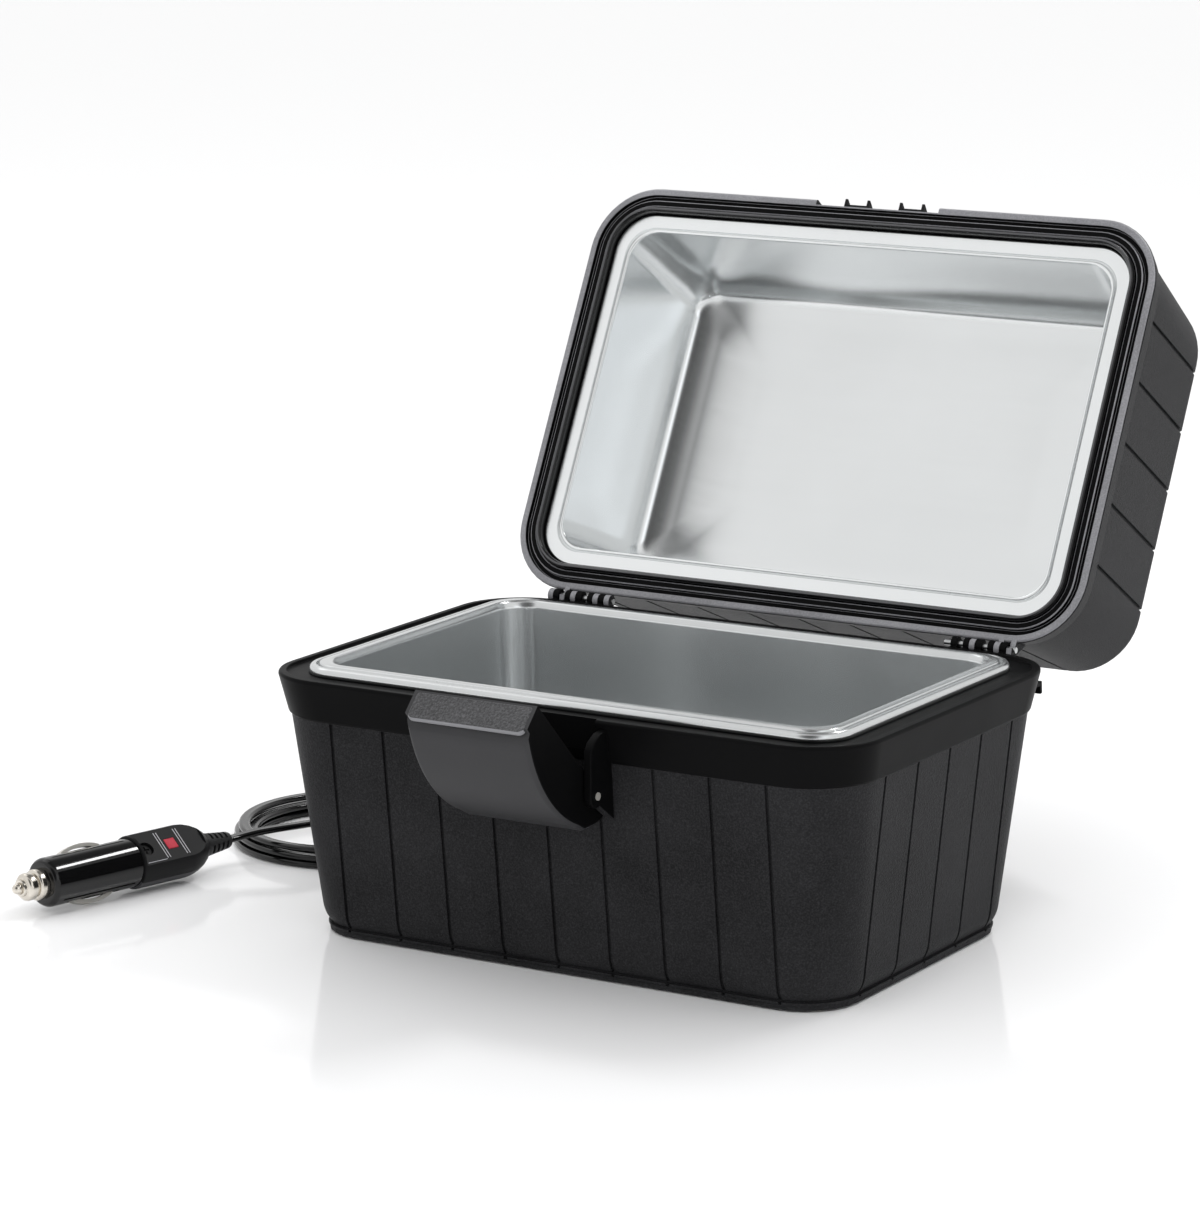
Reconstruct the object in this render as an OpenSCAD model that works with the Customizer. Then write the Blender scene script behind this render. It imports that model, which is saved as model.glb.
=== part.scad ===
// Electric lunch box: a twelve-volt food warmer with a hinged, lined lid, a front latch
// and a lead that ends in a vehicle socket plug.
// Millimetres, +Z up, X to the right, -Y to the front. The origin is on the surface that
// the box stands on, under its middle. The lid and the latch are drawn open.

/* [Body] */
// Width across the rims
body_w = 262; // [240:1:320]
// Depth across the rims
body_d = 178; // [166:1:220]
// Height of the base's rim above the surface
body_h = 105; // [98:1:130]
// Radius of the rims' corners
corner_r = 28; // [26:0.5:34]
// Wall of both plastic shells
shell_t = 2.4; // [2:0.1:3]
// Height of the plain band under the base's rim
band_h = 16; // [13:0.5:20]
// How far the band leans in over its height
band_lean = 3; // [1:0.1:4]
// Step from the band to the grooved wall
band_step = 0.8; // [0.4:0.1:1.5]
// Lean of the grooved base wall from upright, in degrees
wall_lean = 6.3; // [3:0.1:8]
// Width of the black ring between a rim's edge and its liner
ring_w = 11.6; // [10.5:0.1:13]
// Depth of the channel in the base's ring
channel_depth = 1.2; // [0.6:0.1:1.8]

/* [Grooves] */
// Width of a moulded groove
groove_w = 1.4; // [0.8:0.1:2]
// Depth of a moulded groove
groove_depth = 0.9; // [0.5:0.1:1.2]
// Distance between grooves on the front and the back
front_pitch = 24; // [18:0.5:30]
// Distance between grooves on the sides
side_pitch = 25.5; // [18:0.5:30]

/* [Lid] */
// Height of the lid above its rim
lid_h = 78.4; // [66:0.1:90]
// Height of the plain band round the lid's rim
lid_band_h = 9.3; // [8:0.1:12]
// Lean of the lid's grooved wall from upright, in degrees
lid_lean = 5.7; // [3:0.1:8]
// Gap between the two rims when the lid is shut
seam = 1.5; // [1.2:0.1:2.5]
// How far the lid opens, in degrees
lid_open = 117.6; // [95:0.1:120]

/* [Liners] */
// Thickness of the liner sheet
sheet_t = 0.9; // [0.6:0.1:1.2]
// Depth of the base pan below its flange
base_pan_depth = 84; // [60:1:86]
// Depth of the lid pan behind its flange
lid_pan_depth = 58; // [40:1:62]
// Width of the base pan's raised flange
base_flange_w = 8.8; // [7:0.1:10]
// How far the base pan's flange stands above the rim
flange_rise = 3; // [1:0.1:3]
// Width of the lid pan's flange
lid_flange_w = 8; // [6:0.1:9]
// Radius of the pans' upright corners at the opening
pan_corner_r = 12; // [10:0.5:16]
// Radius between a pan's wall and its floor
pan_floor_r = 12; // [8:0.5:14]

/* [Latch] */
// Width of the latch
latch_w = 53; // [44:0.5:60]
// Wall of the latch
latch_t = 2.2; // [1.8:0.1:2.8]
// Height of the latch above its pin, when shut
latch_h = 53.8; // [50:0.1:56]
// How far the latch tips forward, in degrees
latch_open = 45.5; // [20:0.5:45.5]
// Diameter of the latch pin
latch_pin_d = 3; // [2.5:0.1:3.5]
// Thickness of an ear that carries the latch pin
ear_t = 3.2; // [2.5:0.1:4]

/* [Hinge] */
// Diameter of the hinge pins
hinge_pin_d = 2.4; // [2:0.1:2.6]
// Radius of a hinge knuckle
knuckle_r = 2.7; // [2.4:0.1:2.7]
// Width of a hinge knuckle
knuckle_w = 2.4; // [2:0.1:4]
// Knuckles in each of the two hinges
knuckle_count = 11; // [7:2:11]
// From the middle of the box to the outer end of a hinge
hinge_reach = 107.2; // [90:0.1:108]

/* [Heater] */
// Length of the heating element
element_l = 150; // [120:1:156]
// Width of the heating element
element_w = 92; // [70:1:96]
// Thickness of the heating element
element_t = 1.4; // [1:0.1:2]
// Thickness of the clamp plate
clamp_t = 1.2; // [0.8:0.1:2]
// Diameter of the studs on the base pan
stud_d = 3; // [2.5:0.1:4]

/* [Foot] */
// Height of the rubber feet below the cover
foot_h = 0.8; // [0.6:0.1:1.5]
// Diameter of a rubber foot
foot_d = 16; // [12:1:20]
// Thickness of the bottom cover
cover_t = 1.8; // [1.6:0.1:2.5]
// Diameter of a cover screw's shank
screw_d = 2.8; // [2.5:0.1:3.5]

/* [Lead and plug] */
// Width of the flat lead
cord_d = 5; // [4.5:0.1:5.5]
// Radius of the plug's barrel
barrel_r = 10; // [9.5:0.1:10.5]
// Length of the plug's barrel
barrel_l = 44; // [44:1:60]
// Travel of the plug's tip
tip_travel = 2.5; // [1:0.1:3]
// Travel of a side contact
contact_travel = 1.8; // [1:0.1:2]

/* [Hidden] */

// Colours
black_shell = [0.07, 0.07, 0.08];
black_gloss = [0.03, 0.03, 0.035];
black_rubber = [0.05, 0.05, 0.055];
bare_aluminium = [0.82, 0.84, 0.86];
nickel = [0.75, 0.74, 0.7];
steel = [0.6, 0.61, 0.63];
mica = [0.72, 0.62, 0.42];
glass_wool = [0.85, 0.82, 0.72];

// General sizes
$fn = 48;
skin = 0.02;          // thickness of a slice that a lofted shape is hulled from
corner_steps = 6;     // straight pieces round a quarter corner
over = 0.5;           // how far a cut runs past a face
rest_gap = 0.3;       // gap between pieces that lie together
fit = 0.05;           // radial clearance of a turning pin
held = 0.02;          // radial clearance of a pin that is held fast

// Base levels and insets from the rim's edge
rim_z = body_h;
band_z = rim_z - band_h;
cover_z = foot_h;
shell_z = cover_z + cover_t;
ledge_t = 4;
wall_top_inset = band_lean + band_step;
function base_inset(z) = wall_top_inset + (band_z - z) * tan(wall_lean);
sill_inset = base_inset(shell_z + 2);
function outer_r(inset) = corner_r - 0.3 * inset;
opening_inset = ring_w + 2.6;

// Lid levels, drawn shut
lid_z = rim_z + seam;
lid_band_z = lid_z + lid_band_h;
lid_top_z = lid_z + lid_h;
function lid_inset(z) = 2.6 + (z - lid_band_z) * tan(lid_lean);

// Liner levels
flange_seat_z = rim_z - channel_depth;
flange_top_z = rim_z + flange_rise;
pan_top_inset = ring_w + base_flange_w;
pan_lean = 0.05;
function pan_inset(z) = pan_top_inset + (flange_top_z - z) * pan_lean;
pan_floor_z = flange_top_z - base_pan_depth;
lid_flange_z = flange_top_z + 0.4;
lid_pan_inset = ring_w - 0.4 + lid_flange_w;
lid_pan_lean = 0.12;
lid_pan_top_z = lid_flange_z + lid_pan_depth;

// Hinge axis and latch pin
hinge_y = body_d / 2 + knuckle_r + rest_gap;
hinge_z = rim_z + 0.8;
knuckle_step = knuckle_w + rest_gap;
latch_y = -body_d / 2 - 6;
latch_z = rim_z - 27;
notch_w = latch_w + 4;
notch_depth = 2.5;
catch_x = latch_w * 0.24;
catch_w = 11.7;
catch_z = lid_z + 6;
gusset_t = 1.4;

// Bottom fixings
boss_r = 4.5;
cup_r = 5.5;
cup_top_z = shell_z + 2.4;
boss_h = 12;
sill_corner_r = outer_r(sill_inset) - shell_t;
boss_reach = (sill_corner_r - boss_r + 1.8) / sqrt(2);
boss_x = body_w / 2 - sill_inset - outer_r(sill_inset) + boss_reach;
boss_y = body_d / 2 - sill_inset - outer_r(sill_inset) + boss_reach;
foot_x = body_w / 2 - sill_inset - 26;
foot_y = body_d / 2 - sill_inset - 12;

// Heater levels
element_z = pan_floor_z - element_t;
clamp_z = element_z - clamp_t;
stud_x = element_l / 2 - 6;
stud_y = element_w / 2 - 6;
nut_h = 2.4;
tab_y = [-38, 38];
crimp_r = 2.2;

// How far the left side and the back stand from where the lead's route was laid out
side_shift = 131 - body_w / 2;
back_shift = body_d / 2 - 89;

// Bushing in the back wall
gland_x = side_shift - 85;
gland_z = 20;
gland_wall_y = body_d / 2 - base_inset(gland_z);
bushing_l = 26;
collar_y = body_d / 2 - base_inset(gland_z + 8) + 0.1;
inner_face_y = body_d / 2 - base_inset(gland_z - 8) - shell_t - 2.2;

// Lead on the surface
coil_x = side_shift - 180;
coil_y = back_shift + 56;
coil_r = 48;          // middle of the turns
coil_bundle_w = 11;
coil_bundle_h = 11;
housing_rise = 1;      // how far the plug's housing stands out past its barrel
plug_tip_x = side_shift - 227.5;
plug_tip_y = back_shift - 117.5;
plug_turn = 75.5;     // heading of the plug from its tip to its lead, in degrees
plug_roll = 67;       // roll of the side contacts about the plug's length, in degrees
housing_turn = -27;    // turn of the housing's flat face from the contacts

// Lengths along the plug from its tip
cap_x = 3;
cap_ring_x = 6;
barrel_x = 14;
housing_x = barrel_x + barrel_l;
housing_l = 38;
housing_r = barrel_r + housing_rise;
housing_flat = housing_r - 3.4;
boot_x = housing_x + housing_l;
boot_l = 14;
fuse_x = 8.7;
fuse_l = 25;
spring_l = 12;
fuse_bore_r = 4.2;
contact_x = 24;
contact_l = 23;
contact_w = 3.5;
contact_t = 0.8;
contact_low_r = barrel_r - 2.1;
contact_high_r = barrel_r + 2.2;
// The plug lies on its lower side contact
plug_z = contact_high_r * sin(plug_roll) + contact_w / 2 * cos(plug_roll) + 0.05;

boot_end = [plug_tip_x + (boot_x + boot_l) * cos(plug_turn),
            plug_tip_y + (boot_x + boot_l) * sin(plug_turn), plug_z];

// Points moved with the body's left side and its back
function shifted(points) = [for (p = points) p + [side_shift, back_shift, 0]];
// Points inside the base, moved with the heater's height
function raised(points) = [for (p = points) p + [0, 0, clamp_z - 21.4]];

// The lead from the bushing to the coil
lead_route = shifted([[-85, 105.5, 20], [-85, 112, 19.7], [-86.5, 119, 17.5], [-91, 126, 13.5],
                      [-98, 131, 9], [-107, 132.5, 6], [-115.5, 129, 4], [-122, 121.5, 3],
                      [-126.5, 111, 2.8], [-129.5, 99, 3], [-131, 89, 3.5], [-132, 80, 4]]);
// The lead from the coil to the plug
tail_route = concat(shifted([[-140.5, 86, 9.5], [-142, 76, 12], [-148, 66, 13.2],
                             [-157, 56, 13.4], [-167, 45, 13.4], [-176, 33, 13.5],
                             [-182, 22.5, 13.7], [-185.5, 15.5, 13.7], [-190, 8.5, 13.5],
                             [-195, 1.5, 12.8], [-198.3, -5, 11.8]]), [boot_end]);

// Leads inside the base
lead_y = inner_face_y - 1.9;
pad_top_z = min(clamp_z - 8, gland_z - 6.6);
crimp_x = element_l / 2 + 6.5;
lead_shift = min(side_shift, 0);
lead_run = 2.5 + 0.1 * abs(clamp_z - 21.4);
positive_route = concat([[gland_x + 1.5, lead_y, gland_z], [gland_x + 1.5, lead_y - lead_run, gland_z]],
                        raised([[-79 + lead_shift, 62, 18], [-68, 53, 17], [-50, 40, 16.5], [-30, 20, 16.5],
                                [-8, 8, 16], [6, 5, 16.6], [15, 5, 17]]));
negative_route = concat([[gland_x - 1.5, lead_y, gland_z], [gland_x - 1.5, lead_y - lead_run, gland_z]],
                        raised([[-86 + lead_shift, 60, 18], [-84 + lead_shift, 44, 17], [-82, 26, 16.5], [-77, 10, 16.5],
                                [-66, -2, 18], [-58, -4, 19], [-51.5, -4, 19.3]]));
thermostat_route = raised([[45, 5, 17], [52, 6, 16], [62, 9, 15.5], [72, 16, 16], [79, 25, 18],
                           [crimp_x, tab_y[1] - crimp_r - 3, 21], [crimp_x, tab_y[1] - crimp_r - 0.25, 21]]);
element_route = raised([[-27.9, -4, 19.3], [-25.5, -4, 19.3], [-19, -6, 18], [0, -14, 16],
                        [25, -19, 16], [52, -24, 16], [74, -28, 18],
                        [crimp_x, tab_y[0] + crimp_r + 3, 21], [crimp_x, tab_y[0] + crimp_r + 0.25, 21]]);
wire_r = 1.1;

// ---------------------------------------------------------------- helpers

function unit(v) = v / norm(v);

// Corner points of a rounded rectangle that is inset from the rims' outline
function outline(inset, r) =
    let (w = body_w / 2 - inset - r, d = body_d / 2 - inset - r)
    [for (q = [0:3], k = [0:corner_steps])
        let (a = 90 * (q + k / corner_steps), sx = q == 0 || q == 3 ? 1 : -1, sy = q < 2 ? 1 : -1)
        [sx * w + r * cos(a), sy * d + r * sin(a)]];

// A convex body through levels [height, inset, corner radius], lowest first
module loft(levels) {
    last = len(levels) - 1;
    hull()
        for (i = [0:last])
            translate([0, 0, levels[i][0] - (i == last ? skin : 0)])
                linear_extrude(skin) polygon(outline(levels[i][1], levels[i][2]));
}

// A level sheet of the rims' outline
module sheet(z0, z1, inset, r) {
    translate([0, 0, z0]) linear_extrude(z1 - z0) polygon(outline(inset, r));
}

// A flat ring between two insets
module ring(z0, z1, outer, inner) {
    translate([0, 0, z0]) linear_extrude(z1 - z0) difference() {
        polygon(outline(outer, corner_r - outer));
        polygon(outline(inner, corner_r - inner));
    }
}

// A side profile in Y and Z, drawn out along X about x
module across(x, w) {
    translate([x - w / 2, 0, 0]) rotate([90, 0, 90]) linear_extrude(w) children();
}

// A cylinder along X about [x, y, z]
module axle(x, y, z, l, r) {
    translate([x - l / 2, y, z]) rotate([0, 90, 0]) cylinder(h = l, r = r);
}

module mirrored_x() {
    children();
    mirror([1, 0, 0]) children();
}

module at_corners(x, y) {
    for (sx = [-1, 1], sy = [-1, 1]) translate([sx * x, sy * y, 0]) children();
}

module lid_opened() {
    translate([0, hinge_y, hinge_z]) rotate([-lid_open, 0, 0])
        translate([0, -hinge_y, -hinge_z]) children();
}

module latch_opened() {
    translate([0, latch_y, latch_z]) rotate([latch_open, 0, 0])
        translate([0, -latch_y, -latch_z]) children();
}

// A point on a smooth curve between p[i] and p[i + 1]
function between(p, i, t) =
    let (a = p[max(i - 1, 0)], b = p[i], c = p[i + 1], d = p[min(i + 2, len(p) - 1)])
    0.5 * (2 * b + (c - a) * t + (2 * a - 5 * b + 4 * c - d) * t * t
           + (3 * b - a - 3 * c + d) * t * t * t);

function curve(p, parts) =
    concat([for (i = [0:len(p) - 2], k = [0:parts - 1]) between(p, i, k / parts)],
           [p[len(p) - 1]]);

// One closed tube along points
module tube(points, r, sides, parts) {
    path = curve(points, parts);
    n = len(path);
    rings = [for (i = [0:n - 1])
        let (t = unit(path[min(i + 1, n - 1)] - path[max(i - 1, 0)]),
             u = unit(cross(t, [0, 0, 1])), v = cross(u, t))
        for (k = [0:sides - 1])
            path[i] + r * (cos(360 * k / sides) * u + sin(360 * k / sides) * v)];
    walls = [for (i = [0:n - 2], k = [0:sides - 1])
        let (a = i * sides + k, b = i * sides + (k + 1) % sides) [a, b, b + sides, a + sides]];
    polyhedron(points = rings,
               faces = concat([[for (k = [sides - 1:-1:0]) k]], walls,
                              [[for (k = [0:sides - 1]) (n - 1) * sides + k]]),
               convexity = 6);
}

// Upright grooves on the four walls, between two levels of a leaning wall
module wall_grooves(z0, z1, inset0, inset1) {
    lean = atan((inset0 - inset1) / (z1 - z0));
    height = (z1 - z0) / cos(lean);
    front_half = floor((body_w / 2 - corner_r - 6) / front_pitch);
    side_half = floor((body_d / 2 - corner_r - 6) / side_pitch);
    for (k = [-front_half:front_half], side = [0, 180])
        rotate([0, 0, side])
            translate([k * front_pitch, inset0 - body_d / 2, z0]) rotate([lean, 0, 0])
                translate([-groove_w / 2, -over, 0])
                    cube([groove_w, groove_depth + over, height]);
    for (k = [-side_half:side_half], side = [0, 180])
        rotate([0, 0, side])
            translate([inset0 - body_w / 2, k * side_pitch, z0]) rotate([0, -lean, 0])
                translate([-over, -groove_w / 2, 0])
                    cube([groove_depth + over, groove_w, height]);
}

// ---------------------------------------------------------------- base

module base_body_outside() {
    loft([[band_z, band_lean, outer_r(band_lean)], [rim_z - 1, 0, corner_r],
          [rim_z, 0.6, corner_r - 0.6]]);
    loft([[shell_z, sill_inset + 1.2, outer_r(sill_inset) - 1.2],
          [shell_z + 0.6, sill_inset + 0.4, outer_r(sill_inset) - 0.4],
          [shell_z + 2, sill_inset, outer_r(sill_inset)],
          [band_z + over, base_inset(band_z + over), outer_r(wall_top_inset)]]);
}

module base_body_inside() {
    low = sill_inset + shell_t;
    high = base_inset(band_z) + shell_t;
    loft([[shell_z - 1, low, outer_r(sill_inset) - shell_t],
          [shell_z + 2, low, outer_r(sill_inset) - shell_t],
          [band_z, high, outer_r(wall_top_inset) - shell_t],
          [rim_z - ledge_t, high - 0.6, outer_r(wall_top_inset) - shell_t]]);
}

module latch_ear() {
    across(notch_w / 2 + 0.1, ear_t) {
        polygon([[-body_d / 2 + 5, rim_z - 3], [-body_d / 2 - 5, rim_z - 3.6],
                 [latch_y - 4.5, rim_z - 8], [latch_y - 4.5, latch_z],
                 [latch_y - 3, latch_z - 4], [-body_d / 2 + 8, latch_z - 12]]);
        translate([latch_y, latch_z]) circle(r = 4.5);
    }
}

// A row of knuckles at one side; first is 0 for the lid's and 1 for the base's
module knuckle_row(first) {
    for (k = [first:2:knuckle_count - 1])
        across(hinge_reach - (k + 0.5) * knuckle_step, knuckle_w) children();
}

module base_knuckle_profile() {
    back = body_d / 2;
    translate([hinge_y, hinge_z]) circle(r = knuckle_r);
    polygon([[back - 3, hinge_z - 8], [back - 0.5, hinge_z - 8],
             [hinge_y + knuckle_r, hinge_z - 2.4], [hinge_y + knuckle_r, hinge_z],
             [hinge_y - knuckle_r, hinge_z], [back - 3, rim_z]]);
}

// A small moulded hook on the back of the band, beside each hinge
module rear_hook_profile() {
    back = body_d / 2;
    polygon([[back - 9, rim_z - 10.5], [back + 4.6, rim_z - 10.5], [back + 5, rim_z - 15.5],
             [back + 3.4, rim_z - 15.8], [back + 3, rim_z - 12.4], [back - 9, rim_z - 12.4]]);
}

module base_shell() {
    color(black_shell) {
        difference() {
            union() {
                base_body_outside();
                mirrored_x() latch_ear();
                mirrored_x() knuckle_row(1) base_knuckle_profile();
                mirrored_x() across(hinge_reach + 9, 5) rear_hook_profile();
            }
            base_body_inside();
            sheet(rim_z - ledge_t - over, rim_z + over, opening_inset, corner_r - opening_inset);
            sheet(flange_seat_z, rim_z + 0.3, 3.2, corner_r - 3.2);
            wall_grooves(shell_z + 3, band_z, base_inset(shell_z + 3), wall_top_inset);
            translate([-notch_w / 2 + 1.5, -body_d / 2 - over, band_z + 4])
                cube([notch_w - 3, notch_depth + over, band_h]);
            axle(0, latch_y, latch_z, body_w / 2, latch_pin_d / 2 + held);
            mirrored_x()
                axle(hinge_reach - 15, hinge_y, hinge_z, 60, hinge_pin_d / 2 + held);
            translate([gland_x, body_d / 2, gland_z]) rotate([90, 0, 0])
                cylinder(h = 30, r = 5);
        }
        at_corners(boss_x, boss_y)
            translate([0, 0, cup_top_z]) difference() {
                cylinder(h = boss_h, r = boss_r);
                translate([0, 0, -over]) cylinder(h = boss_h - 1, r = screw_d / 2 + fit);
            }
    }
}

// The pan's shape, outset is the sheet on its outside
module base_pan(outset, top_z) {
    floor_z = pan_floor_z + (outset > 0 ? 0 : sheet_t);
    knee_z = floor_z + pan_floor_r;
    knee = pan_inset(knee_z) - outset;
    loft(concat(
        [for (a = [0:15:90])
            [knee_z - pan_floor_r * cos(a), knee + pan_floor_r * (1 - sin(a)), pan_corner_r]],
        [[top_z, pan_inset(top_z) - outset, pan_corner_r]]));
}

module base_liner() {
    flange_r = corner_r - ring_w;
    color(bare_aluminium) {
        difference() {
            union() {
                difference() {
                    loft([[flange_seat_z, ring_w, flange_r],
                          [rim_z + flange_rise * 0.45, ring_w + 0.8, flange_r - 0.8],
                          [rim_z + flange_rise * 0.8, ring_w + 3, flange_r - 3],
                          [flange_top_z, pan_top_inset - 1.4, pan_corner_r]]);
                    loft([[flange_seat_z - 1, ring_w + 1.6, flange_r - 1.6],
                          [rim_z + flange_rise * 0.4 - sheet_t, ring_w + 2, flange_r - 2],
                          [flange_top_z - sheet_t, pan_top_inset - 2, pan_corner_r]]);
                }
                base_pan(sheet_t, flange_top_z - 0.2);
            }
            base_pan(0, flange_top_z + over);
        }
        at_corners(stud_x, stud_y)
            translate([0, 0, clamp_z - nut_h - 1]) cylinder(h = pan_floor_z + 0.1 - clamp_z + nut_h + 1, r = stud_d / 2);
    }
}

module base_insulation_sleeve() {
    low_z = pan_floor_z + 16;
    high_z = rim_z - ledge_t - 3;
    top_inset = wall_top_inset + shell_t + 0.9;
    color(glass_wool) difference() {
        loft([[low_z, base_inset(low_z) + shell_t + 0.9, outer_r(base_inset(low_z)) - shell_t - 0.9],
              [band_z, top_inset, outer_r(wall_top_inset) - shell_t - 0.9],
              [high_z, top_inset, outer_r(wall_top_inset) - shell_t - 0.9]]);
        loft([[low_z - 1, pan_inset(low_z - 1) - sheet_t - 0.3, pan_corner_r],
              [high_z + 1, pan_inset(high_z + 1) - sheet_t - 0.3, pan_corner_r]]);
    }
}

module rounded_plate(l, w, r, z0, t) {
    translate([0, 0, z0]) linear_extrude(t) {
        square([l - 2 * r, w], center = true);
        square([l, w - 2 * r], center = true);
        at_corners(l / 2 - r, w / 2 - r) circle(r = r);
    }
}

module base_insulation_pad() {
    color(glass_wool)
        rounded_plate(element_l + 40, element_w + 16, 10, shell_z + 0.2, pad_top_z - shell_z - 0.2);
}

module heater_element() {
    color(mica) {
        difference() {
            rounded_plate(element_l, element_w, 5, element_z, element_t);
            at_corners(stud_x, stud_y)
                translate([0, 0, element_z - over]) cylinder(h = element_t + 1, r = stud_d / 2 + 0.2);
        }
        for (y = tab_y)
            translate([element_l / 2 - 1, y - 3, element_z]) cube([10, 6, element_t * 0.6]);
    }
}

module heater_clamp() {
    color(steel) difference() {
        rounded_plate(element_l + 2, element_w + 4, 6, clamp_z, clamp_t);
        at_corners(stud_x, stud_y)
            translate([0, 0, clamp_z - over]) cylinder(h = clamp_t + 1, r = stud_d / 2 + 0.2);
        for (x = [-40, 0, 40], y = [-18, 18])
            translate([x, y, clamp_z - over]) cylinder(h = clamp_t + 1, r = 7);
    }
}

module clamp_nuts() {
    color(nickel) at_corners(stud_x, stud_y)
        translate([0, 0, clamp_z - nut_h]) difference() {
            cylinder(h = nut_h, r = stud_d + 0.2, $fn = 6);
            translate([0, 0, -over]) cylinder(h = nut_h + 1, r = stud_d / 2 + held);
        }
}

thermostat_x = 30;

module thermostat() {
    color([0.55, 0.4, 0.28]) translate([thermostat_x, 0, clamp_z]) {
        translate([0, 0, -1]) cylinder(h = 1, r = 9.4);
        translate([0, 0, -6]) cylinder(h = 5, r = 8);
        for (side = [-1, 1])
            translate([side * 11 - 4, 2, -4.2]) cube([8, 6.3, 0.8]);
    }
}

module thermal_fuse() {
    color(steel) translate([-40, -4, clamp_z - 2.1]) rotate([0, 90, 0]) {
        translate([0, 0, -5.5]) cylinder(h = 11, r = 2);
        translate([0, 0, -11.5]) cylinder(h = 23.5, r = 0.6);
    }
}

module thermostat_lead() {
    color([0.7, 0.08, 0.06]) tube(thermostat_route, wire_r, 8, 2);
}

module element_lead() {
    color([0.9, 0.9, 0.88]) tube(element_route, wire_r, 8, 2);
}

module supply_lead_positive() {
    color([0.7, 0.08, 0.06]) tube(positive_route, wire_r, 8, 2);
}

module supply_lead_negative() {
    color(black_rubber) tube(negative_route, wire_r, 8, 2);
}

// Crimps where the element's two tails meet their leads
module crimp_connectors() {
    color([0.15, 0.3, 0.6])
        for (y = tab_y)
            translate([element_l / 2 + 6.5, y, element_z - 3.2]) cylinder(h = 3.2, r = crimp_r);
}

module bottom_cover() {
    lip_inset = sill_inset + shell_t + 0.3;
    lip_r = outer_r(sill_inset) - shell_t - 0.3;
    color(black_shell) difference() {
        union() {
            sheet(cover_z, shell_z, sill_inset + 1.6, outer_r(sill_inset) - 1.6);
            difference() {
                sheet(shell_z - 0.1, cup_top_z, lip_inset, lip_r);
                sheet(shell_z - 0.2, cup_top_z + over, lip_inset + 2, lip_r - 2);
            }
            intersection() {
                at_corners(boss_x, boss_y)
                    translate([0, 0, shell_z - 0.1]) cylinder(h = cup_top_z - shell_z + 0.1, r = cup_r);
                sheet(shell_z - 0.1, cup_top_z, lip_inset, lip_r);
            }
        }
        at_corners(boss_x, boss_y) {
            translate([0, 0, cover_z - over]) cylinder(h = over + 2.8, r = 3.3);
            translate([0, 0, cover_z]) cylinder(h = 10, r = screw_d / 2 + 0.3);
        }
        at_feet() translate([0, 0, cover_z - over]) cylinder(h = over + 0.8, r = foot_d / 2 + 0.1);
    }
}

module cover_screws() {
    color(nickel) at_corners(boss_x, boss_y) translate([0, 0, cover_z]) {
        difference() {
            translate([0, 0, 0.6]) cylinder(h = 2.2, r = 2.9);
            translate([0, 0, 0.5]) for (a = [0, 90]) rotate([0, 0, a])
                translate([-2, -0.4, 0]) cube([4, 0.8, 1.1]);
        }
        translate([0, 0, 2.7]) cylinder(h = 11, r = screw_d / 2);
    }
}

// The four corner feet and one under the middle of the cover
module at_feet() {
    at_corners(foot_x, foot_y) children();
    children();
}

module rubber_feet() {
    color(black_rubber) at_feet() cylinder(h = foot_h + 0.8, r = foot_d / 2);
}

// ---------------------------------------------------------------- lid, drawn shut

module lid_outside() {
    loft([[lid_z, 0.6, corner_r - 0.6], [lid_z + 1, 0, corner_r],
          [lid_band_z, 1.6, outer_r(1.6)]]);
    loft([[lid_band_z - over, 2.6, outer_r(2.6)],
          [lid_top_z - 5, lid_inset(lid_top_z - 5), outer_r(lid_inset(lid_top_z))],
          [lid_top_z - 2.4, lid_inset(lid_top_z) + 1, outer_r(lid_inset(lid_top_z)) - 1],
          [lid_top_z - 0.8, lid_inset(lid_top_z) + 3.4, outer_r(lid_inset(lid_top_z)) - 3],
          [lid_top_z, lid_inset(lid_top_z) + 12, outer_r(lid_inset(lid_top_z)) - 6]]);
}

module lid_inside() {
    roof_z = lid_top_z - shell_t;
    low_z = lid_flange_z + 3.6;
    loft([[low_z, lid_inset(lid_band_z) + shell_t, outer_r(2.6) - shell_t],
          [roof_z - 4, lid_inset(lid_top_z) + shell_t, outer_r(lid_inset(lid_top_z)) - shell_t],
          [roof_z, lid_inset(lid_top_z) + shell_t + 3, outer_r(lid_inset(lid_top_z)) - shell_t - 3]]);
}

module lid_catch() {
    front = -body_d / 2 + notch_depth;
    across(0, catch_w)
        polygon([[front + 1, catch_z], [front - 1.5, catch_z], [front - 1.5, catch_z + 1.6],
                 [front + 1, catch_z + 2.4]]);
    for (side = [-1, 1])
        across(side * (catch_w - gusset_t) / 2, gusset_t)
            polygon([[front + 1, catch_z - 0.4], [front - 3.2, catch_z - 0.4],
                     [front - 3, catch_z + 1.4], [front + 0.4, catch_z + 9], [front + 1.4, catch_z + 9]]);
}

module lid_knuckle_profile() {
    back = body_d / 2;
    translate([hinge_y, hinge_z]) circle(r = knuckle_r);
    // the heel comes to rest on the base's band when the lid is fully open
    polygon([[back - 3, lid_z], [back - 3, lid_z + 8], [back - 1, lid_z + 8],
             [hinge_y + knuckle_r, hinge_z + 1.4], [hinge_y + 5, hinge_z - 0.2],
             [hinge_y + 5, hinge_z - 0.93], [hinge_y, hinge_z - knuckle_r + 0.4], [hinge_y - 1, hinge_z + 0.3]]);
}

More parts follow.
